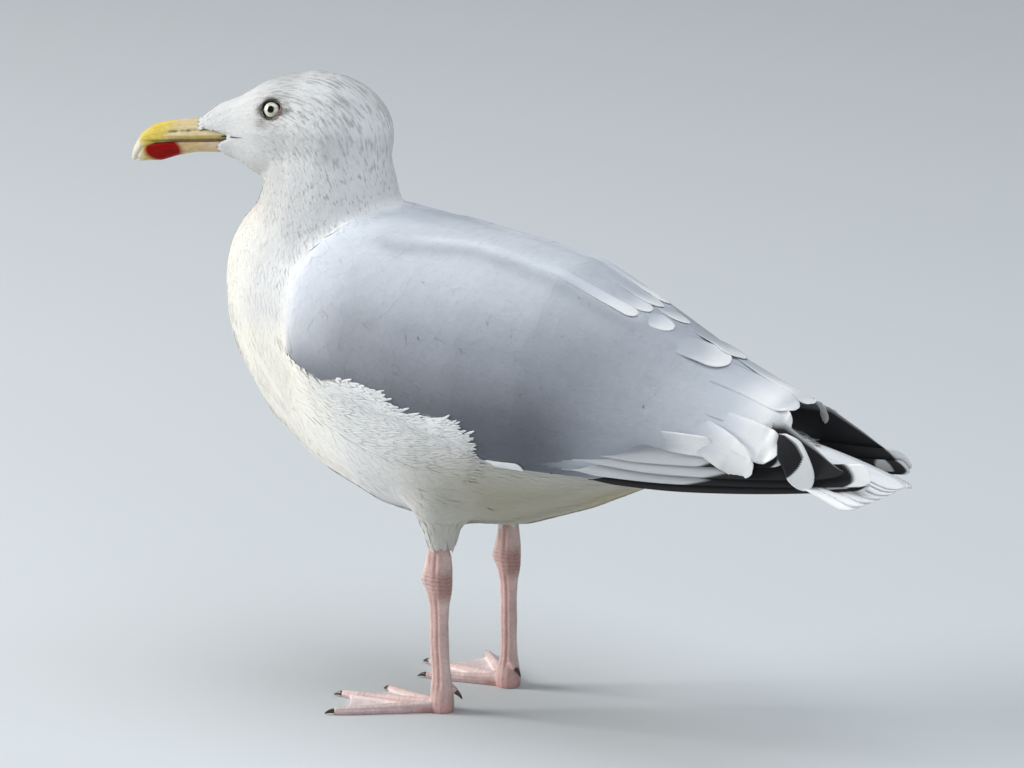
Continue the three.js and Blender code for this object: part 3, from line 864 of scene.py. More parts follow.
def blade(path, webs, tint, *, guide=None, face_to=(0, -1, 0), gap=(0.0, 0.0), rows=30, columns=10,
          narrow=0.6, blunt=1.0, camber=0.03, point=9.0, hug=0.05):
    """One large feather of the left side. Where a guide surface is given it lies at least the gap outside it,
    and over the share of its length that hug says it follows the surface closely."""
    t = closing(rows, 1.5)
    c = np.linspace(-1, 1, columns + 1)
    place, ahead = shaft(path, t)
    length = np.linalg.norm(np.diff(place, axis=0), axis=1).sum()
    if guide:
        normal = guide.nearest(place)[1]
    else:
        normal = np.broadcast_to(unit(np.array(face_to, float)), place.shape)
    side = unit(np.cross(normal, ahead))
    over = unit(np.cross(ahead, side))
    # The width: a pointed root, full from a third of the way, and a rounded tip that takes the share end.
    end = min(0.5, blunt * (webs[0] + webs[1]) / 2 / length)
    rounding = np.sqrt(np.maximum(1 - np.clip((t - 1 + end) / end, 0, 1) ** 2, 0.002))
    full = (narrow + (1 - narrow) * ease(0, 0.35, t)) * rounding * ease(-0.01, 0.10, t)
    inner = np.minimum(webs[1], point * length * (1 - t) + 0.5)
    across = np.where(c < 0, c * webs[0], c * inner[:, None]) * full[:, None]
    lift = gap[0] + (gap[1] - gap[0]) * t
    # The shaft stands up as a fine ridge, and the webs bend down from it.
    ridge = 0.1 * bell(c, 0, 0.12) * (1 - t[:, None])
    height = ridge - camber * np.abs(across)
    grid = place[:, None] + side[:, None] * across[..., None] + over[:, None] * height[..., None]
    if guide:
        # The edges of the root sink in, and a root that starts below the guide is drawn down to it.
        near, facing = guide.nearest(grid)
        sunk = 0.5 * gap[0] * c ** 2 * ease(0.35, 0.05, t)[:, None]
        outward = lift[:, None] + height + sunk - ((grid - near) * facing).sum(-1)
        rooted = ease(hug + 0.3, hug, t)[:, None] * (gap[0] < 0)
        grid = grid + facing * (np.maximum(outward, 0) + np.minimum(outward, 0) * rooted)[..., None]
    else:
        grid = grid + over[:, None] * lift[:, None, None]
    down = np.broadcast_to(t[:, None], across.shape)
    spread = np.broadcast_to(c, across.shape)
    lies = np.stack([across, down * length + 90 * rng.random(), across * 0], -1)
    return grid, tint(down, spread, grid), lies, np.stack([spread * 0.5 + 0.5, down], -1)


def pair_of_blades(vanes, index, count, parts, shift=(0, 0, 0)):
    """Adds a left feather and its mirror image, each in a cell of its own on the unwrapped sheet.
    Where the two meet over the back, the right one lies on the left one. The right one may be shifted."""
    grid, tints, lies, sheet = parts
    mirrored = grid * MIRROR + shift
    mirrored[..., 2] += 0.5 * ease(-9, 0, grid[..., 1])
    for i, places, order in ((index, grid, 1), (index + count, mirrored, -1)):
        cell = np.stack([(i + 0.05 + 0.9 * sheet[..., 0]) / (2 * count), 0.05 + 0.9 * sheet[..., 1]], -1)
        places, colours, lines, cell = (part[None, :, ::order] for part in (places, tints, lies, cell))
        vanes.add(places, colours, lines, 0.0, cell)


# ---- Camera, floor and light ----

VIEW = {"azimuth": 36, "elevation": 16, "distance": 6000, "lens": 398.2, "sensor": 36}
FEET_MIDDLE = np.array([-33.0, 0, 0])
AIM = np.array([-44.1, 48.6, 159.9])
FLOOR_REACH, FLOOR_GAP = 12000, 0.05     # how far the floor goes each way, and how far it lies under the feet
LIGHT_AIM = Vector((0, 0, 0.18))
LIGHTS = (                               # name, place, size, power and colour
    ("key", (-2.6, -1.3, 1.25), 1.3, 95, (1.0, 0.97, 0.93)),
    ("sky", (0.4, 0.0, 3.0), 3.0, 75, (0.90, 0.95, 1.0)),
    ("fill", (2.4, -2.2, 1.3), 2.0, 20, (0.92, 0.96, 1.0)),
)
WORLD_COLOUR, WORLD_STRENGTH = (0.80, 0.86, 0.92, 1), 0.14


def camera():
    azimuth, elevation = math.radians(VIEW["azimuth"]), math.radians(VIEW["elevation"])
    back = np.array([math.sin(azimuth) * math.cos(elevation), -math.cos(azimuth) * math.cos(elevation),
                     math.sin(elevation)])
    eye = FEET_MIDDLE + back * VIEW["distance"]
    data = bpy.data.cameras.new("camera")
    data.lens, data.sensor_width = VIEW["lens"], VIEW["sensor"]
    data.clip_end = 100
    view = placed("camera", data)
    view.location = Vector(eye * MM)
    view.rotation_euler = Vector((AIM - eye)).to_track_quat("-Z", "Y").to_euler()
    bpy.context.scene.camera = view


def floor():
    corners = np.array([(-1, -1, 0), (1, -1, 0), (1, 1, 0), (-1, 1, 0)], float) * FLOOR_REACH
    piece = new_object("floor", corners - [0, 0, FLOOR_GAP], np.array([[0, 1, 2, 3]]))
    shader = Shader("floor_paint")
    grain = shader.node("ShaderNodeTexNoise", {"Scale": 3.0, "Detail": 3.0})
    colour = shader.blend(grain, (0.60, 0.63, 0.65, 1), (0.63, 0.66, 0.68, 1))
    piece.data.materials.append(shader.finish(Base_Color=colour, Roughness=0.85, Specular_IOR_Level=0.2))


def lights():
    for name, place, size, power, colour in LIGHTS:
        data = bpy.data.lights.new(name, "AREA")
        data.size, data.energy, data.color = size, power, colour
        light = placed(name, data)
        light.location = place
        light.rotation_euler = (LIGHT_AIM - Vector(place)).to_track_quat("-Z", "Y").to_euler()
    world = bpy.data.worlds.new("studio")
    world.use_nodes = True
    background = world.node_tree.nodes["Background"]
    background.inputs[0].default_value = WORLD_COLOUR
    background.inputs[1].default_value = WORLD_STRENGTH
    bpy.context.scene.world = world
    bpy.context.scene.view_settings.view_transform = "Standard"


# ---- Skin ----

SKIN_SHADE = 0.97   # the skin is slightly darker than the feathers over it


def skin():
    """One skin under the whole coat, with the same markings as the feathers."""
    head = in_head(under_coat.places)
    depth = np.full(len(head), SKIN_DEPTH["body"])
    depth = depth + (SKIN_DEPTH["head"] - depth) * field(head, x=(30, 5), z=(-34, -22))
    piece = new_object("skin", under_coat.places - under_coat.normals * depth[:, None], under_coat.quads)
    along, angle, _ = lie.at(under_coat.places)
    strength, density = streaks(under_coat.places)
    lines = np.stack([angle * AROUND, along, density], -1)
    store(piece, tint=coat_tint(under_coat.places) * SKIN_SHADE, lie=lines, streak=strength)
    finish_piece(piece, white_plumage, "plumage_white", WHITE_NODES + WING_NODES)


# ---- Body plumage ----

FACE_FRONT = 74      # how far ahead of the head's origin the face's feathers begin
FACE_END, WHITE_END, GREY_END = 62, 150, 146   # where small feathers stop: along the spine, and along x
TAIL_COVERTS = 93    # where the white feathers over the tail begin, under the wings
# How high the lower edge of the grey plumage lies along the wing, above the folded flight feathers.
WING_EDGE = np.array([(-200, 120), (20, 140), (35, 153), (63, 161), (75, 166), (104, 172.5), (125, 173),
                      (160, 178)])
WHITE_TRACTS = (     # name, spacing, where along the spine, length, width
    ("plumage_head", 1.25, (58, 110), 6, 1.9),
    ("plumage_neck", 1.6, (104, 165), 8, 2.4),
    ("plumage_breast", 1.9, (158, 235), 10, 3.0),
    ("plumage_belly", 2.1, (228, 600), 12, 3.5),
)


def tract(name, surface, spacing, keep, length, width, material=white_plumage, slot="plumage_white", **shape):
    """One field of small feathers on the part of a surface that keep() accepts."""
    roots = surface.scatter(spacing, keep)
    length, width = (size(roots) if callable(size) else size for size in (length, width))
    vanes = Vanes(name, material, slot)
    contour(vanes, surface, roots, length, width, **shape)
    vanes.finish()


def white_tracts():
    def on_head(points):
        return (lie.at(points)[0] < FACE_END) & clear_of_eyes(points) & ~on_bill(points)

    def from_bill(points):
        return np.maximum(in_head(points)[:, 0] + FACE_FRONT, 0)

    tract("plumage_face", face, 1.0, on_head, lambda p: 2.6 + 0.07 * from_bill(p),
          lambda p: 1.25 + 0.012 * from_bill(p), lift=(-0.2, 0.0), rows=3)
    for name, spacing, (start, end), length, width in WHITE_TRACTS:
        def keep(points):
            along = lie.at(points)[0]
            return (along >= start) & (along < end) & (greyness(points) < 0.5) & (points[:, 0] < WHITE_END)

        tract(name, coat, spacing, keep, length, width, lift=(-0.25, 0.0))

    def over_tail(points):
        return (points[:, 0] > TAIL_COVERTS) & (points[:, 2] > 150)

    tract("tail_coverts", rump, 2.4, over_tail, 22, 8, lift=(-0.3, 2.4), rows=5, tint=white_tint)


def grey_tracts():
    def keep(points):
        edge = np.interp(points[:, 0], WING_EDGE[:, 0], WING_EDGE[:, 1])
        return (greyness(points) >= 0.5) & (points[:, 2] > edge) & (points[:, 0] < GREY_END)

    def size(points):
        return 0.78 + 0.37 * ease(-110, 20, points[:, 0])

    tract("plumage_grey", coat, 4.4, keep, lambda p: 21 * size(p), lambda p: 13 * size(p), grey_plumage,
          "plumage_grey", lift=(-0.16, 0.0), rows=6, columns=4, scatter=4, down=0.06, curl=0.004, swell=0.02,
          fringe=0.015, loose=0.004, wrap=True)


# ---- Wing and tail feathers ----

# Shaft, webs (outer, inner), how far the root and the tip stand off, and where the white end starts.
SCAPULARS = (
    (((-18, -17, 251), (35, -18, 244), (81, -14.5, 227.5)), (3.5, 4.5), (-0.6, 0.8), 0.90),
    (((50, -11, 244), (75, -9, 235), (99, -7, 222)), (7.5, 7.5), (-1.0, 0.5), 0.90),
    (((30, -9, 250), (60, -6.5, 241), (84, -5, 229.5)), (6, 6.5), (-1.0, 0.7), 0.92),
)
TERTIALS = (
    (((76, -51, 169), (112, -44, 171.5), (145, -37, 170.5)), (4.5, 7), (-0.9, 0.4), 0.80),
    (((94, -47, 187), (137, -39, 178), (168, -35, 161.5)), (10, 10), (-0.9, 0.9), 0.78),
    (((102, -41, 195), (146, -34, 184), (182, -31, 174.3)), (10, 9.5), (-0.9, 1.2), 0.80),
    (((99, -36, 204), (146, -25, 193), (180, -17, 183.5)), (10, 9.5), (-0.9, 1.5), 0.80),
    (((97, -25, 215), (142, -10, 203), (177, -8, 191.3)), (10, 9.5), (-0.9, 1.8), 0.80),
    (((78, -14, 231), (106, -11, 219), (134, -5, 209.5)), (9.5, 8.5), (-0.9, 1.0), 0.88),
)
# The grey and whitish coverts at the foot of the wing, over the roots of the flight feathers.
COVERTS = (
    (((15, -60, 150), (44, -56, 151.5), (80, -49.5, 153)), (4, 4), (-0.3, 0.2), 1.2),
    (((11, -60, 145), (24, -59, 146.5), (38, -56, 147)), (4.5, 4.5), (-0.1, 0.9), 0.1),
)
# The folded primaries, lowest first: shaft, webs, how far out they lie, how the inner web narrows towards
# the tip, and colours.
PRIMARIES = (
    (((75, -50, 147.6), (154, -35, 151.5), (230, -20, 162)), (2.5, 6), -1.5, 9,
     dict(tip=0.95, mirror=(0.84, 0.92))),
    (((66, -52, 151.5), (137, -38, 155), (231, -20, 165)), (3.5, 8.5), -1.1, 9,
     dict(grey_to=0.46, tip=0.905)),
    (((63, -52, 159), (149, -36, 160.5), (217, -23.5, 168)), (4, 26), -0.7, 0.72,
     dict(grey_to=0.58, fringe=0.03)),
    (((63, -52, 164), (134, -38, 165), (185, -30, 171)), (4, 9), -0.3, 9, dict(grey_to=0.68, tip=0.93)),
    (((180, -27.5, 183), (188.5, -28.5, 175.5), (196, -26.5, 155.5)), (8.5, 6.8), 1.4, 9,
     dict(tip=0.43, fringe=0.45, slant=0.32, fringe_from=-0.2)),
)
PRIMARY_FACE = (0.187, -0.93, 0.35)
TUCKED = (-9, 0, -5)   # how much deeper under its tertials the shortest primary of the right wing is folded
TAIL_PAIRS = 6


def grey_web(white_from, paleness, edge):
    """The plumage's grey, with paler edges, turning white over the end of the feather."""
    def tint(t, c, points):
        base = grey_tint(points.reshape(-1, 3)).reshape(points.shape)
        return layered(base, (PALE_GREY * 1.2, paleness * ease(0.4, 1.0, t)),
                       (WHITE, edge * ease(0.7, 1.0, np.abs(c)) * ease(0.45, 0.8, t)),
                       (WHITE, ease(white_from - 0.22, white_from + 0.10, t + 0.05 * c ** 2)))
    return tint


def grey_feathers(name, table, paleness, edge, replaces=(), thickness=0.25, **shape):
    """One piece of large grey feathers on both sides, laid on the coat."""
    vanes = Vanes(name, grey_plumage, "plumage_grey", replaces, thickness)
    for i, (path, webs, gap, white_from) in enumerate(table):
        parts = blade(path, webs, grey_web(white_from, paleness, edge), guide=coat, gap=gap, **shape)
        pair_of_blades(vanes, i, len(table), parts)
    vanes.finish()


def black_web(grey_to=-1.0, tip=2.0, fringe=0.0, mirror=None, slant=0.0, fringe_from=0.25):
    """Black with a grey tongue towards the root, a white tip, a pale inner fringe and perhaps a mirror."""
    def tint(t, c, points):
        tongue = ease(grey_to + 0.02, grey_to - 0.02, t + 0.10 * np.abs(c + 0.2))
        colours = mix(np.broadcast_to(BLACK, points.shape), GREY_TONGUE, tongue)
        if mirror:
            start, end = mirror
            patch = ease(start, start + 0.01, t - 0.02 * c ** 2) * ease(end + 0.01, end, t + 0.02 * c ** 2)
            colours = mix(colours, WHITE * 0.85, patch * (c > -0.3))
        if fringe:
            pale = ease(1 - fringe, 1.06 - fringe, c) * ease(fringe_from, fringe_from + 0.15, t)
            colours = mix(colours, WHITE, pale)
        return mix(colours, WHITE, ease(tip, tip + 0.015, t - 0.03 * (1 - c ** 2) - slant * (1 - c) / 2))
    return tint


def primaries():
    vanes = Vanes("primaries", grey_plumage, "plumage_black", ["primaries_left", "primaries_right"], 0.35)
    for i, (path, webs, gap, point, colours) in enumerate(PRIMARIES):
        short = i == len(PRIMARIES) - 1
        parts = blade(path, webs, black_web(**colours), face_to=PRIMARY_FACE, gap=(gap, gap), rows=90,
                      columns=14, narrow=0.35 if short else 0.5, blunt=1.2, point=point)
        pair_of_blades(vanes, i, len(PRIMARIES), parts, TUCKED if short else (0, 0, 0))
    vanes.finish()


def tail():
    vanes = Vanes("tail_feathers", white_plumage, "plumage_white", ["tail"], 0.3)

    def tint(t, c, points):
        # brighter than the body's white: painted light on the tail
        return np.broadcast_to(LIT_TAIL_WHITE, points.shape) * (1 - 0.04 * np.abs(c[..., None]) ** 4)

    for i in range(TAIL_PAIRS):
        spread = (i + 0.3) / TAIL_PAIRS
        root = np.array((112, -14 * spread, 176 - 3 * spread))
        tip = np.array((237 - 12 * spread ** 2, -24 * spread, 156.5 - 3.5 * spread ** 2 - 0.5 * i))
        crest = (root + tip) / 2 + [0, 0, 4.5]
        parts = blade((root, crest, tip), (9.5 + 1.2 * spread, 9.5), tint, face_to=(0.25, -0.5 * spread, 1),
                      rows=24, columns=8, blunt=0.8, narrow=0.55)
        pair_of_blades(vanes, i, TAIL_PAIRS, parts)
    vanes.finish()


# ---- Loose plumes ----

PLUME_FOOT = (-130, -60, 5), (168, 142, 132)   # places along the wing, and how high the plumes begin there


def flank_plumes():
    """Fine loose strands along the upper edge of the flank feathers, which end over the wing."""
    def keep(points):
        x, _, z = points.T
        return (on_flank(points) > 0.6) & (x > -112) & (z > np.interp(x, *PLUME_FOOT))

    def reach(roots):
        """Shorter near the upper edge, so that the plumes end along it."""
        length = np.full(len(roots), 17.0)
        for i in range(17, 2, -2):
            length = np.where(on_flank(roots + np.array([i, 0, 0.3 * i])) > 0, length, np.minimum(length, i))
        return length + rng.uniform(-2, 5, len(roots))

    tract("plumage_flanks", coat, 1.35, keep, reach, 1.5, lift=(-0.2, 0.4), rows=6, scatter=9, down=-0.3,
          point=0.2, tint=white_tint, loose=0.12, swell=0.4)


def thigh_plumes():
    """Pointed feathers that hang over the top of each shin."""
    def keep(points):
        return (points[:, 2] < 106) & (points[:, 2] > 95)

    tract("plumage_thighs", thighs, 1.7, keep, lambda p: 5 + rng.uniform(0, 4, len(p)), 2.0, lift=(0.0, 0.4),
          rows=5, scatter=8, down=8, point=0.2, tint=white_tint, loose=0.11)


# ---- Bill ----

HORN = {name: np.array(value) for name, value in {
    "rear": (0.60, 0.49, 0.28), "lemon": (0.64, 0.50, 0.10), "ridge": (0.68, 0.57, 0.34),
    "ochre": (0.36, 0.27, 0.08), "nail": (0.74, 0.71, 0.58), "flesh": (0.72, 0.56, 0.42),
    "brown": (0.60, 0.43, 0.20), "red": (0.27, 0.003, 0.001), "dark": (0.035, 0.028, 0.02)}.items()}
NOSTRIL = (27.5, 4.6)   # out along the bill and above the mouth line
RED_SPOT = ((35.5, 0, -5), (13.5, 9, 8))   # its middle and radii


def bill_material():
    shader = Shader("bill_horn")
    lines = shader.attribute("lie")
    streaky = shader.noise(lines, (0.10, 1.5, 1.5), 3.0)
    blotch = shader.noise(lines, (0.4, 0.4, 0.4), 3.0)
    colour = shader.shaded(shader.attribute("tint", "Color"), streaky, 0.86, 1.08)
    colour = shader.shaded(colour, blotch, 0.90, 1.06)
    rough = shader.spread(streaky, 0.42, 0.56)
    height = shader.math("ADD", streaky, shader.math("MULTIPLY", blotch, 0.6))
    return shader.finish(Base_Color=colour, Roughness=rough, Normal=shader.bump(height, 0.3, 0.3),
                         Specular_IOR_Level=0.1)


def upper_horn(out, level):
    """Colours of the upper half of the bill, with painted shade in its groove, and how deep the groove is."""
    groove = bell(level, NOSTRIL[1] + 0.05 * (27 - out), 0.7) * ease(33, 29, out)
    # the groove's painted shade varies along its length
    uneven_groove_shade = 0.55 + 0.3 * np.sin(out * 0.7) + 0.25 * np.sin(out * 1.63 + 1)
    tint = layered(
        np.broadcast_to(HORN["rear"], (len(out), 3)),
        (HORN["lemon"], ease(26, 38, out + 0.3 * level)),
        (HORN["ridge"], ease(2.0, 2.8, level) * ease(4.4, 3.4, level) * ease(36, 30, out)),
        (HORN["ochre"], 0.85 * ease(2.6, 1.8, level) * ease(36, 26, out)),
        (HORN["nail"], ease(45, 52, out - 0.4 * level)),
        # painted shade in the nostril groove
        (HORN["dark"] * 2, 0.8 * groove * uneven_groove_shade),
    )
    return tint, groove


def lower_horn(out, level):
    """Colours of the lower half of the bill, which has no groove."""
    red = spot(np.stack([out, out * 0, level], -1), *RED_SPOT)
    tint = layered(
        np.broadcast_to(HORN["flesh"], (len(out), 3)),
        (HORN["brown"], 0.8 * ease(4, 20, out - 1.2 * level)),
        (HORN["dark"] * 5, 0.5 * ease(-5.5, -8, level) * ease(14, 2, out)),
        (HORN["lemon"], 0.5 * ease(38, 44, out)),
        (HORN["red"], np.clip(2.4 * red, 0, 1)),
        (HORN["nail"], 0.8 * ease(46, 50, out)),
    )
    return tint, 0 * out


def bill():
    material = bill_material()
    for node, colours in (("bill_upper", upper_horn), ("bill_lower", lower_horn)):
        places, quads, normals = hull([node], voxel=0.42, swell=0.38, rounds=10)
        out, across, level = in_bill(places).T
        tint, groove = colours(out, level)
        # painted shade along the mouth line between the two halves
        mouth = ease(1.1, 0.3, np.abs(level)) * ease(50, 38, out)
        feathered = ~on_bill(places)
        tint = layered(tint, (HORN["dark"] * 2.5, 0.75 * mouth), (WHITE, feathered))
        sunk = 0.5 * groove + 0.5 * feathered
        piece = new_object(node + "_horn", places - normals * sunk[:, None], quads)
        store(piece, tint=tint, lie=np.stack([out, across, level], -1))
        finish_piece(piece, material, "bill", [node])
    nostril_shadow(material)


def gape():
    """Painted shade for the crease that runs back over the feathers from each corner of the mouth."""
    vanes = Vanes("gape_crease_shade", white_plumage, "plumage_white", thickness=0.1)
    t = np.linspace(0, 1, 13)
    start, end = (np.array(corner) for corner in GAPE_CREASE)
    for i, (_, mirror) in enumerate(PAIR):
        along = start + (end - start) * t[:, None]
        line = from_head(np.stack([along[:, 0], mirror * (10.0 + 4.0 * t), along[:, 1]], -1))
        place, normal = face.nearest(line)
        side = unit(np.cross(normal, np.gradient(place, axis=0)))
        half = 0.5 * (1 - t) ** 0.8 + 0.03
        lift = 0.35 + 0.8 * (1 - t) ** 2
        c = np.linspace(-1, 1, 3)[None, :, None]
        raised = place + normal * lift[:, None]
        grid = raised[:, None] + side[:, None] * c * half[:, None, None]
        patch = np.stack(np.broadcast_arrays(0.25 + 0.5 * i + 0.01 * c[..., 0], 0.02 + 0.01 * t[:, None]), -1)
        vanes.add(grid[None], SMUDGE_AND_SHADE * 0.5, grid[None], 0.0, patch[None])
    vanes.finish()


def nostril_shadow(material):
    """The dark wall between the nostrils, which open through the upper bill: painted shade inside them."""
    turns = np.linspace(0, 2 * math.pi, 24, endpoint=False)
    rings = np.array([(0.05, 0), (1.0, 0.3), (1.0, -0.3), (0.05, 0)])   # share of the radius, and sideways
    out = NOSTRIL[0] - 2 + 9 * rings[:, :1] * np.cos(turns)
    level = NOSTRIL[1] + 0.3 + 2.4 * rings[:, :1] * np.sin(turns)
    across = rings[:, 1:] + 0 * out
    grid = from_head(BILL_IN_HEAD) + np.stack([out, across, level], -1) @ BILL_TURN.T
    piece = ring_of("bill_nostril_shadow", grid, close=True)
    dark = np.broadcast_to(HORN["dark"], (len(piece.data.vertices), 3))
    store(piece, tint=dark, lie=vectors_of(piece.data, "co") / MM)
    finish_piece(piece, material, "bill")


# ---- Eyes ----

IRIS_STEPS = (   # the iris from its middle outward: share of IRIS_SPAN, colour
    (0.0, (0.002, 0.002, 0.002)), (0.335, (0.002, 0.002, 0.002)), (0.37, (0.16, 0.15, 0.10)),
    (0.44, (0.66, 0.65, 0.50)), (0.72, (0.74, 0.73, 0.60)), (0.79, (0.45, 0.44, 0.34)),
    (0.84, (0.02, 0.018, 0.015)),
)
IRIS_SPAN = 5.0
LID_DARK = np.array((0.008, 0.007, 0.006))


def eye_material():
    shader = Shader("eye")
    radius = shader.attribute("radius", "Fac")
    rays = shader.noise(shader.attribute("lie"), (2.6, 0.25, 0.0))
    ramp = shader.tree.nodes.new("ShaderNodeValToRGB")
    band = ramp.color_ramp
    while len(band.elements) < len(IRIS_STEPS):
        band.elements.new(0.5)
    for element, (place, colour) in zip(band.elements, IRIS_STEPS):
        element.position, element.color = place, (*colour, 1)
    shader.set(ramp.inputs[0], shader.math("DIVIDE", radius, IRIS_SPAN))
    colour = shader.shaded(ramp.outputs[0], rays, 0.86, 1.06)
    return shader.finish(Base_Color=colour, Roughness=0.12, Coat_Weight=1.0, Coat_Roughness=0.02)


def lid_material():
    shader = Shader("eyelid")
    grain = shader.noise(shader.attribute("lie"), (2.2, 2.2, 2.2))
    colour = shader.shaded(shader.attribute("tint", "Color"), grain, 0.7, 1.25)
    return shader.finish(Base_Color=colour, Roughness=0.45, Normal=shader.bump(grain, 0.6, 0.4))


def eyes():
    ball_material, ring_material = eye_material(), lid_material()
    turns = np.linspace(0, 2 * math.pi, 64, endpoint=False)
    polar = np.linspace(0.01, 1.35, 40)   # from the middle of the pupil to behind the lids
    for side, mirror in PAIR:
        gaze = GAZES[side]
        angle, spin = np.meshgrid(polar, turns, indexing="ij")
        radius = BALL_RADIUS * np.sin(angle)
        depth = BALL_RADIUS * np.cos(angle) + 0.35 * ease(4.6, 0, radius)
        ball = gaze.place(radius * np.cos(spin), radius * np.sin(spin), depth)
        piece = ring_of(f"eyeball_{side}", ball, close=True, flip=mirror < 0)
        rays = np.stack([spin * 4, radius, radius * 0], -1).reshape(-1, 3)
        store(piece, radius=np.append(radius.ravel(), [0, 9]), lie=np.vstack([rays, np.zeros((2, 3))]))
        finish_piece(piece, ball_material, "iris", [f"eye_{side}"])
        ring = lids(gaze, turns)
        piece = ring_of(f"eyelid_{side}", ring, close=False, flip=mirror < 0)
        rim = np.linspace(0, 1, len(ring))[:, None]
        rear = ease(0.35, 0.85, -np.cos(turns))[None] * ease(0.1, 0.3, rim)
        tint = mix(np.broadcast_to(LID_DARK, ring.shape), RUST, rear)
        store(piece, tint=tint.reshape(-1, 3), lie=ring)
        finish_piece(piece, ring_material, "leg_skin")


def lids(gaze, turns):
    """The bare ring of the lids: tight on the ball inside, a raised rim, and under the feathers outside."""
    inner, outer = IRIS_RADIUS + 0.05, EYE_EDGE + 1.6
    reach = np.linspace(inner, outer, 16)[:, None] + 0 * turns
    long = 1 + (EYE_LONG - 1) * ease(inner, EYE_EDGE - 0.3, reach)
    ahead, above = reach * long * np.cos(turns), reach * np.sin(turns)
    radius = np.minimum(np.hypot(ahead, above), 7.3)
    on_ball = np.sqrt(BALL_RADIUS ** 2 - radius ** 2) + 0.1
    start_at = 30.0
    starts = gaze.place(ahead, above, np.full(ahead.shape, start_at)).reshape(-1, 3)
    hits = [face.tree.ray_cast(Vector(start), Vector(-gaze.axis))[3] for start in starts.tolist()]
    on_face = np.array([start_at - (hit if hit else start_at) for hit in hits]).reshape(ahead.shape)
    depth = on_ball + (on_face - on_ball) * ease(EYE_EDGE - 0.5, EYE_EDGE + 0.4, reach)
    depth = depth + 0.4 * bell(reach, EYE_EDGE - 0.15, 0.35) - 1.1 * ease(EYE_EDGE + 0.4, outer, reach)
    return gaze.place(ahead, above, depth)


def ring_of(name, grid, close, flip=False):
    """A surface from rings of points, from the middle outward, with its ends closed by a point if asked."""
    rings, count = grid.shape[:2]
    index = np.arange(rings * count).reshape(rings, count)
    follow = np.roll(index, -1, 1)
    faces = np.stack([index[:-1], follow[:-1], follow[1:], index[1:]], -1).reshape(-1, 4)
    points = grid.reshape(-1, 3)
    if close:
        points = np.vstack([points, grid[0].mean(0), grid[-1].mean(0)])
        for end, centre in ((0, rings * count), (-1, rings * count + 1)):
            a, b, c = index[end][::2], follow[end][::2], np.roll(index[end], -2)[::2]
            hub = np.full(count // 2, centre)
            faces = np.vstack([faces, np.stack([a, b, c, hub] if end else [a, hub, c, b], -1)])
    return new_object(name, points, faces[:, ::-1] if flip else faces)


# ---- Legs and claws ----

LEG_NODES = ("shin", "tarsus", "foot", "hind_toe")
PINK, LEG_PALE, LEG_RED, LEG_DARK_RED_AND_SHADE, WEB_PINK = (np.array(value) for value in (
    (0.70, 0.47, 0.44), (0.82, 0.66, 0.61), (0.66, 0.30, 0.29), (0.44, 0.20, 0.15), (0.95, 0.82, 0.81)))
LEGS_APART = 30                           # how far each leg stands from the middle
ANKLE = (71, 4.5)                         # the height of the knob in front of the ankle, and its size
LEG_DEPTH = {"left": 1.5, "right": 0.3}   # how much deeper each shank is than its solid
LEG_LEAN = {"left": -1.8, "right": 0.0}   # how far forward the upper part of each leg is set
SCUTE, WRINKLE, KNUCKLE = 3.2, 2.1, 3.0   # the lengths of a scute, a wrinkle of the ankle and a toe's scale


def leg_material():
    shader = Shader("leg_skin")
    tint = shader.attribute("tint", "Color")
    place = shader.attribute("lie")
    cells = shader.node("ShaderNodeTexVoronoi", {"Vector": shader.scaled(place, (0.75, 0.75, 0.75)),
                                                 "Scale": 1.0})
    blotch = shader.noise(place, (0.16, 0.16, 0.10), 3.0)
    fine = shader.noise(place, (1.4, 1.4, 1.4), 3.0)
    colour = shader.shaded(tint, blotch, 0.84, 1.1)
    colour = shader.blend(1.0, colour, shader.range(cells, 0.05, 0.6, 1.04, 0.88), "MULTIPLY")
    height = shader.math("ADD", shader.math("MULTIPLY", cells, -1.0), shader.math("MULTIPLY", fine, 0.5))
    return shader.finish(Base_Color=colour, Roughness=shader.spread(fine, 0.40, 0.60),
                         Normal=shader.bump(height, 0.4, 0.4), Specular_IOR_Level=0.4)


def claw_material():
    shader = Shader("claw_horn")
    streaky = shader.noise(shader.attribute("lie"), (0.5, 2.0, 2.0))
    colour = shader.blend(streaky, (0.02, 0.015, 0.012, 1), (0.09, 0.06, 0.045, 1))
    return shader.finish(Base_Color=colour, Roughness=shader.spread(streaky, 0.25, 0.4))


def scales(phase, sharpness):
    """Rounded rows: 1 over each row and 0 between them."""
    return np.abs(np.sin(phase)) ** sharpness


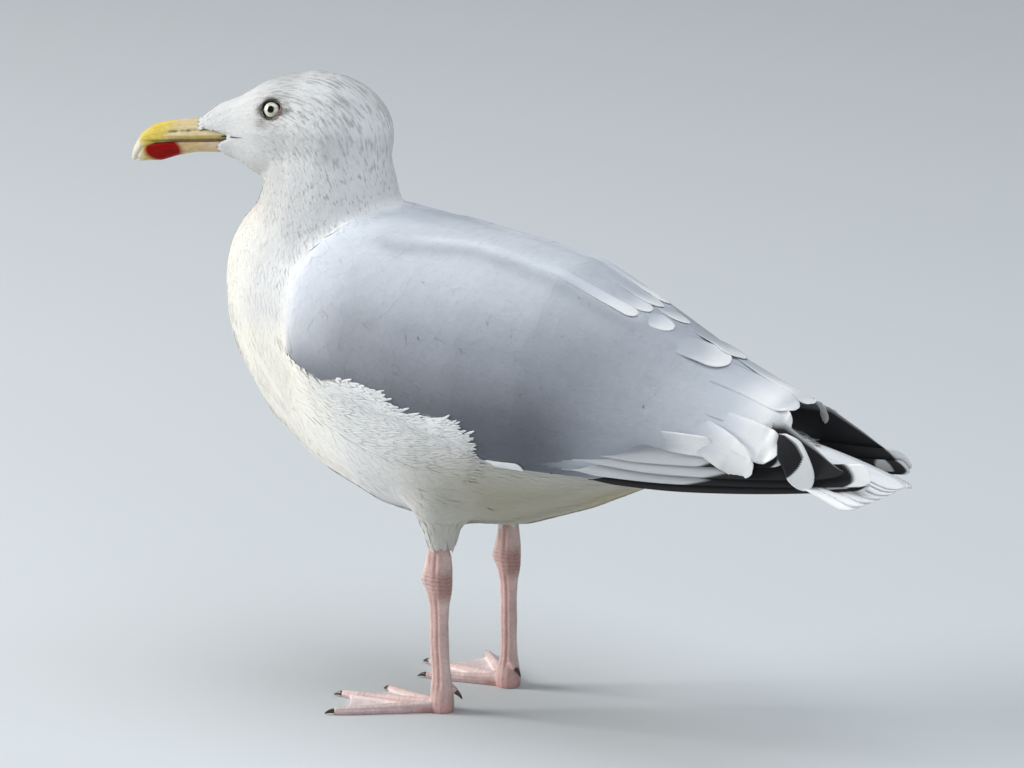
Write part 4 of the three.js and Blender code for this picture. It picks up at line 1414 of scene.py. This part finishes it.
def leg_skin(side, mirror):
    """Places, faces and colours of one leg and foot, with its scutes, wrinkled ankle, webs and painted shade.
    """
    places, quads, normals = hull([f"{name}_{side}" for name in LEG_NODES], voxel=0.55, swell=0.22, rounds=3)
    x, y, z = places[:, 0] - FEET_MIDDLE[0], places[:, 1] - mirror * LEGS_APART, places[:, 2]
    out = np.hypot(x, y)
    shank = ease(9, 14, z) * ease(90, 84, z)
    ankle = ease(58, 66, z) * ease(80, 72, z)
    toes = ease(9, 5, z)
    front, rear = ease(0.3, 0.9, -normals[:, 0]), ease(0.2, 0.8, normals[:, 0])
    top = ease(0.2, 0.8, normals[:, 2]) * ease(2.6, 3.6, z)
    scutes = scales(z * math.pi / SCUTE, 0.35)
    wrinkles = scales(z * math.pi / WRINKLE + 0.6 * np.sin(y + 0.4 * z), 0.6)
    knuckles = scales(out * math.pi / KNUCKLE, 0.4)
    valley = (bell(x, 1.4, 0.8) + 0.6 * bell(x, -1.6, 0.7)) * shank * (1 - ankle)
    relief = 0.2 * (scutes - 1) * front * shank + 0.35 * (wrinkles - 1) * ankle * (0.5 + 0.5 * rear)
    relief = relief - 0.4 * valley + 0.2 * (knuckles - 1) * toes * top
    relief = relief + 1.2 * bell(z, *ANKLE) * front + 0.6 * LEG_DEPTH[side] * np.abs(normals[:, 0]) * shank
    places = places + normals * relief[:, None]
    places[:, 0] += LEG_LEAN[side] * ease(8, 40, z)
    places[:, 2] = np.maximum(places[:, 2], 0)
    web = ease(3.2, 2.2, z) * ease(10, 16, out)
    tint = layered(
        np.broadcast_to(PINK, places.shape),
        (LEG_PALE, 0.6 * front * shank + 0.5 * rear * shank * (1 - ankle)),
        # darker red on the back of the ankle, and painted shade in the grooves along the shank
        (LEG_DARK_RED_AND_SHADE, 0.55 * ankle * ease(-0.5, 0.6, normals[:, 0]) + 0.45 * valley),
        (LEG_PALE, 0.5 * ankle * front),
        (WEB_PINK, 0.97 * web + 0.6 * toes * top * (1 - web)),
        (LEG_RED, 0.45 * toes * ease(0.35, -0.2, normals[:, 2])),
    )
    shade = 1 + 0.08 * (scutes - 1) * front * shank + 0.3 * (wrinkles - 1) * ankle
    shade = shade + 0.15 * (knuckles - 1) * toes * top
    return places, quads, np.clip(tint * shade[:, None], 0, 1), np.stack([x, y, z], -1)


def legs():
    material, horn = leg_material(), claw_material()
    for side, mirror in PAIR:
        places, quads, tint, lines = leg_skin(side, mirror)
        piece = new_object(f"leg_skin_{side}", places, quads)
        store(piece, tint=tint, lie=lines)
        finish_piece(piece, material, "leg_skin", [f"{name}_{side}" for name in LEG_NODES])
        for toe in ("inner", "middle", "outer", "hind"):
            node = f"claw_{toe}_{side}"
            places, quads, _ = hull([node], voxel=0.26, swell=0.1, rounds=2)
            piece = new_object(node + "_horn", places, quads)
            store(piece, lie=places)
            finish_piece(piece, horn, "claw", [node])


# ---- Assembly ----

camera()
floor()
lights()
skin()
white_tracts()
grey_tracts()
grey_feathers("scapulars", SCAPULARS, paleness=0.3, edge=0.25, blunt=1.6, hug=1.0)
grey_feathers("tertials", TERTIALS, paleness=0.2, edge=0.14, replaces=TERTIAL_NODES, thickness=0.3, rows=40,
              columns=12, hug=0.5)
primaries()
grey_feathers("lower_coverts", COVERTS, paleness=0.5, edge=0.5, narrow=0.3, hug=1.0)
tail()
flank_plumes()
thigh_plumes()
bill()
gape()
eyes()
legs()
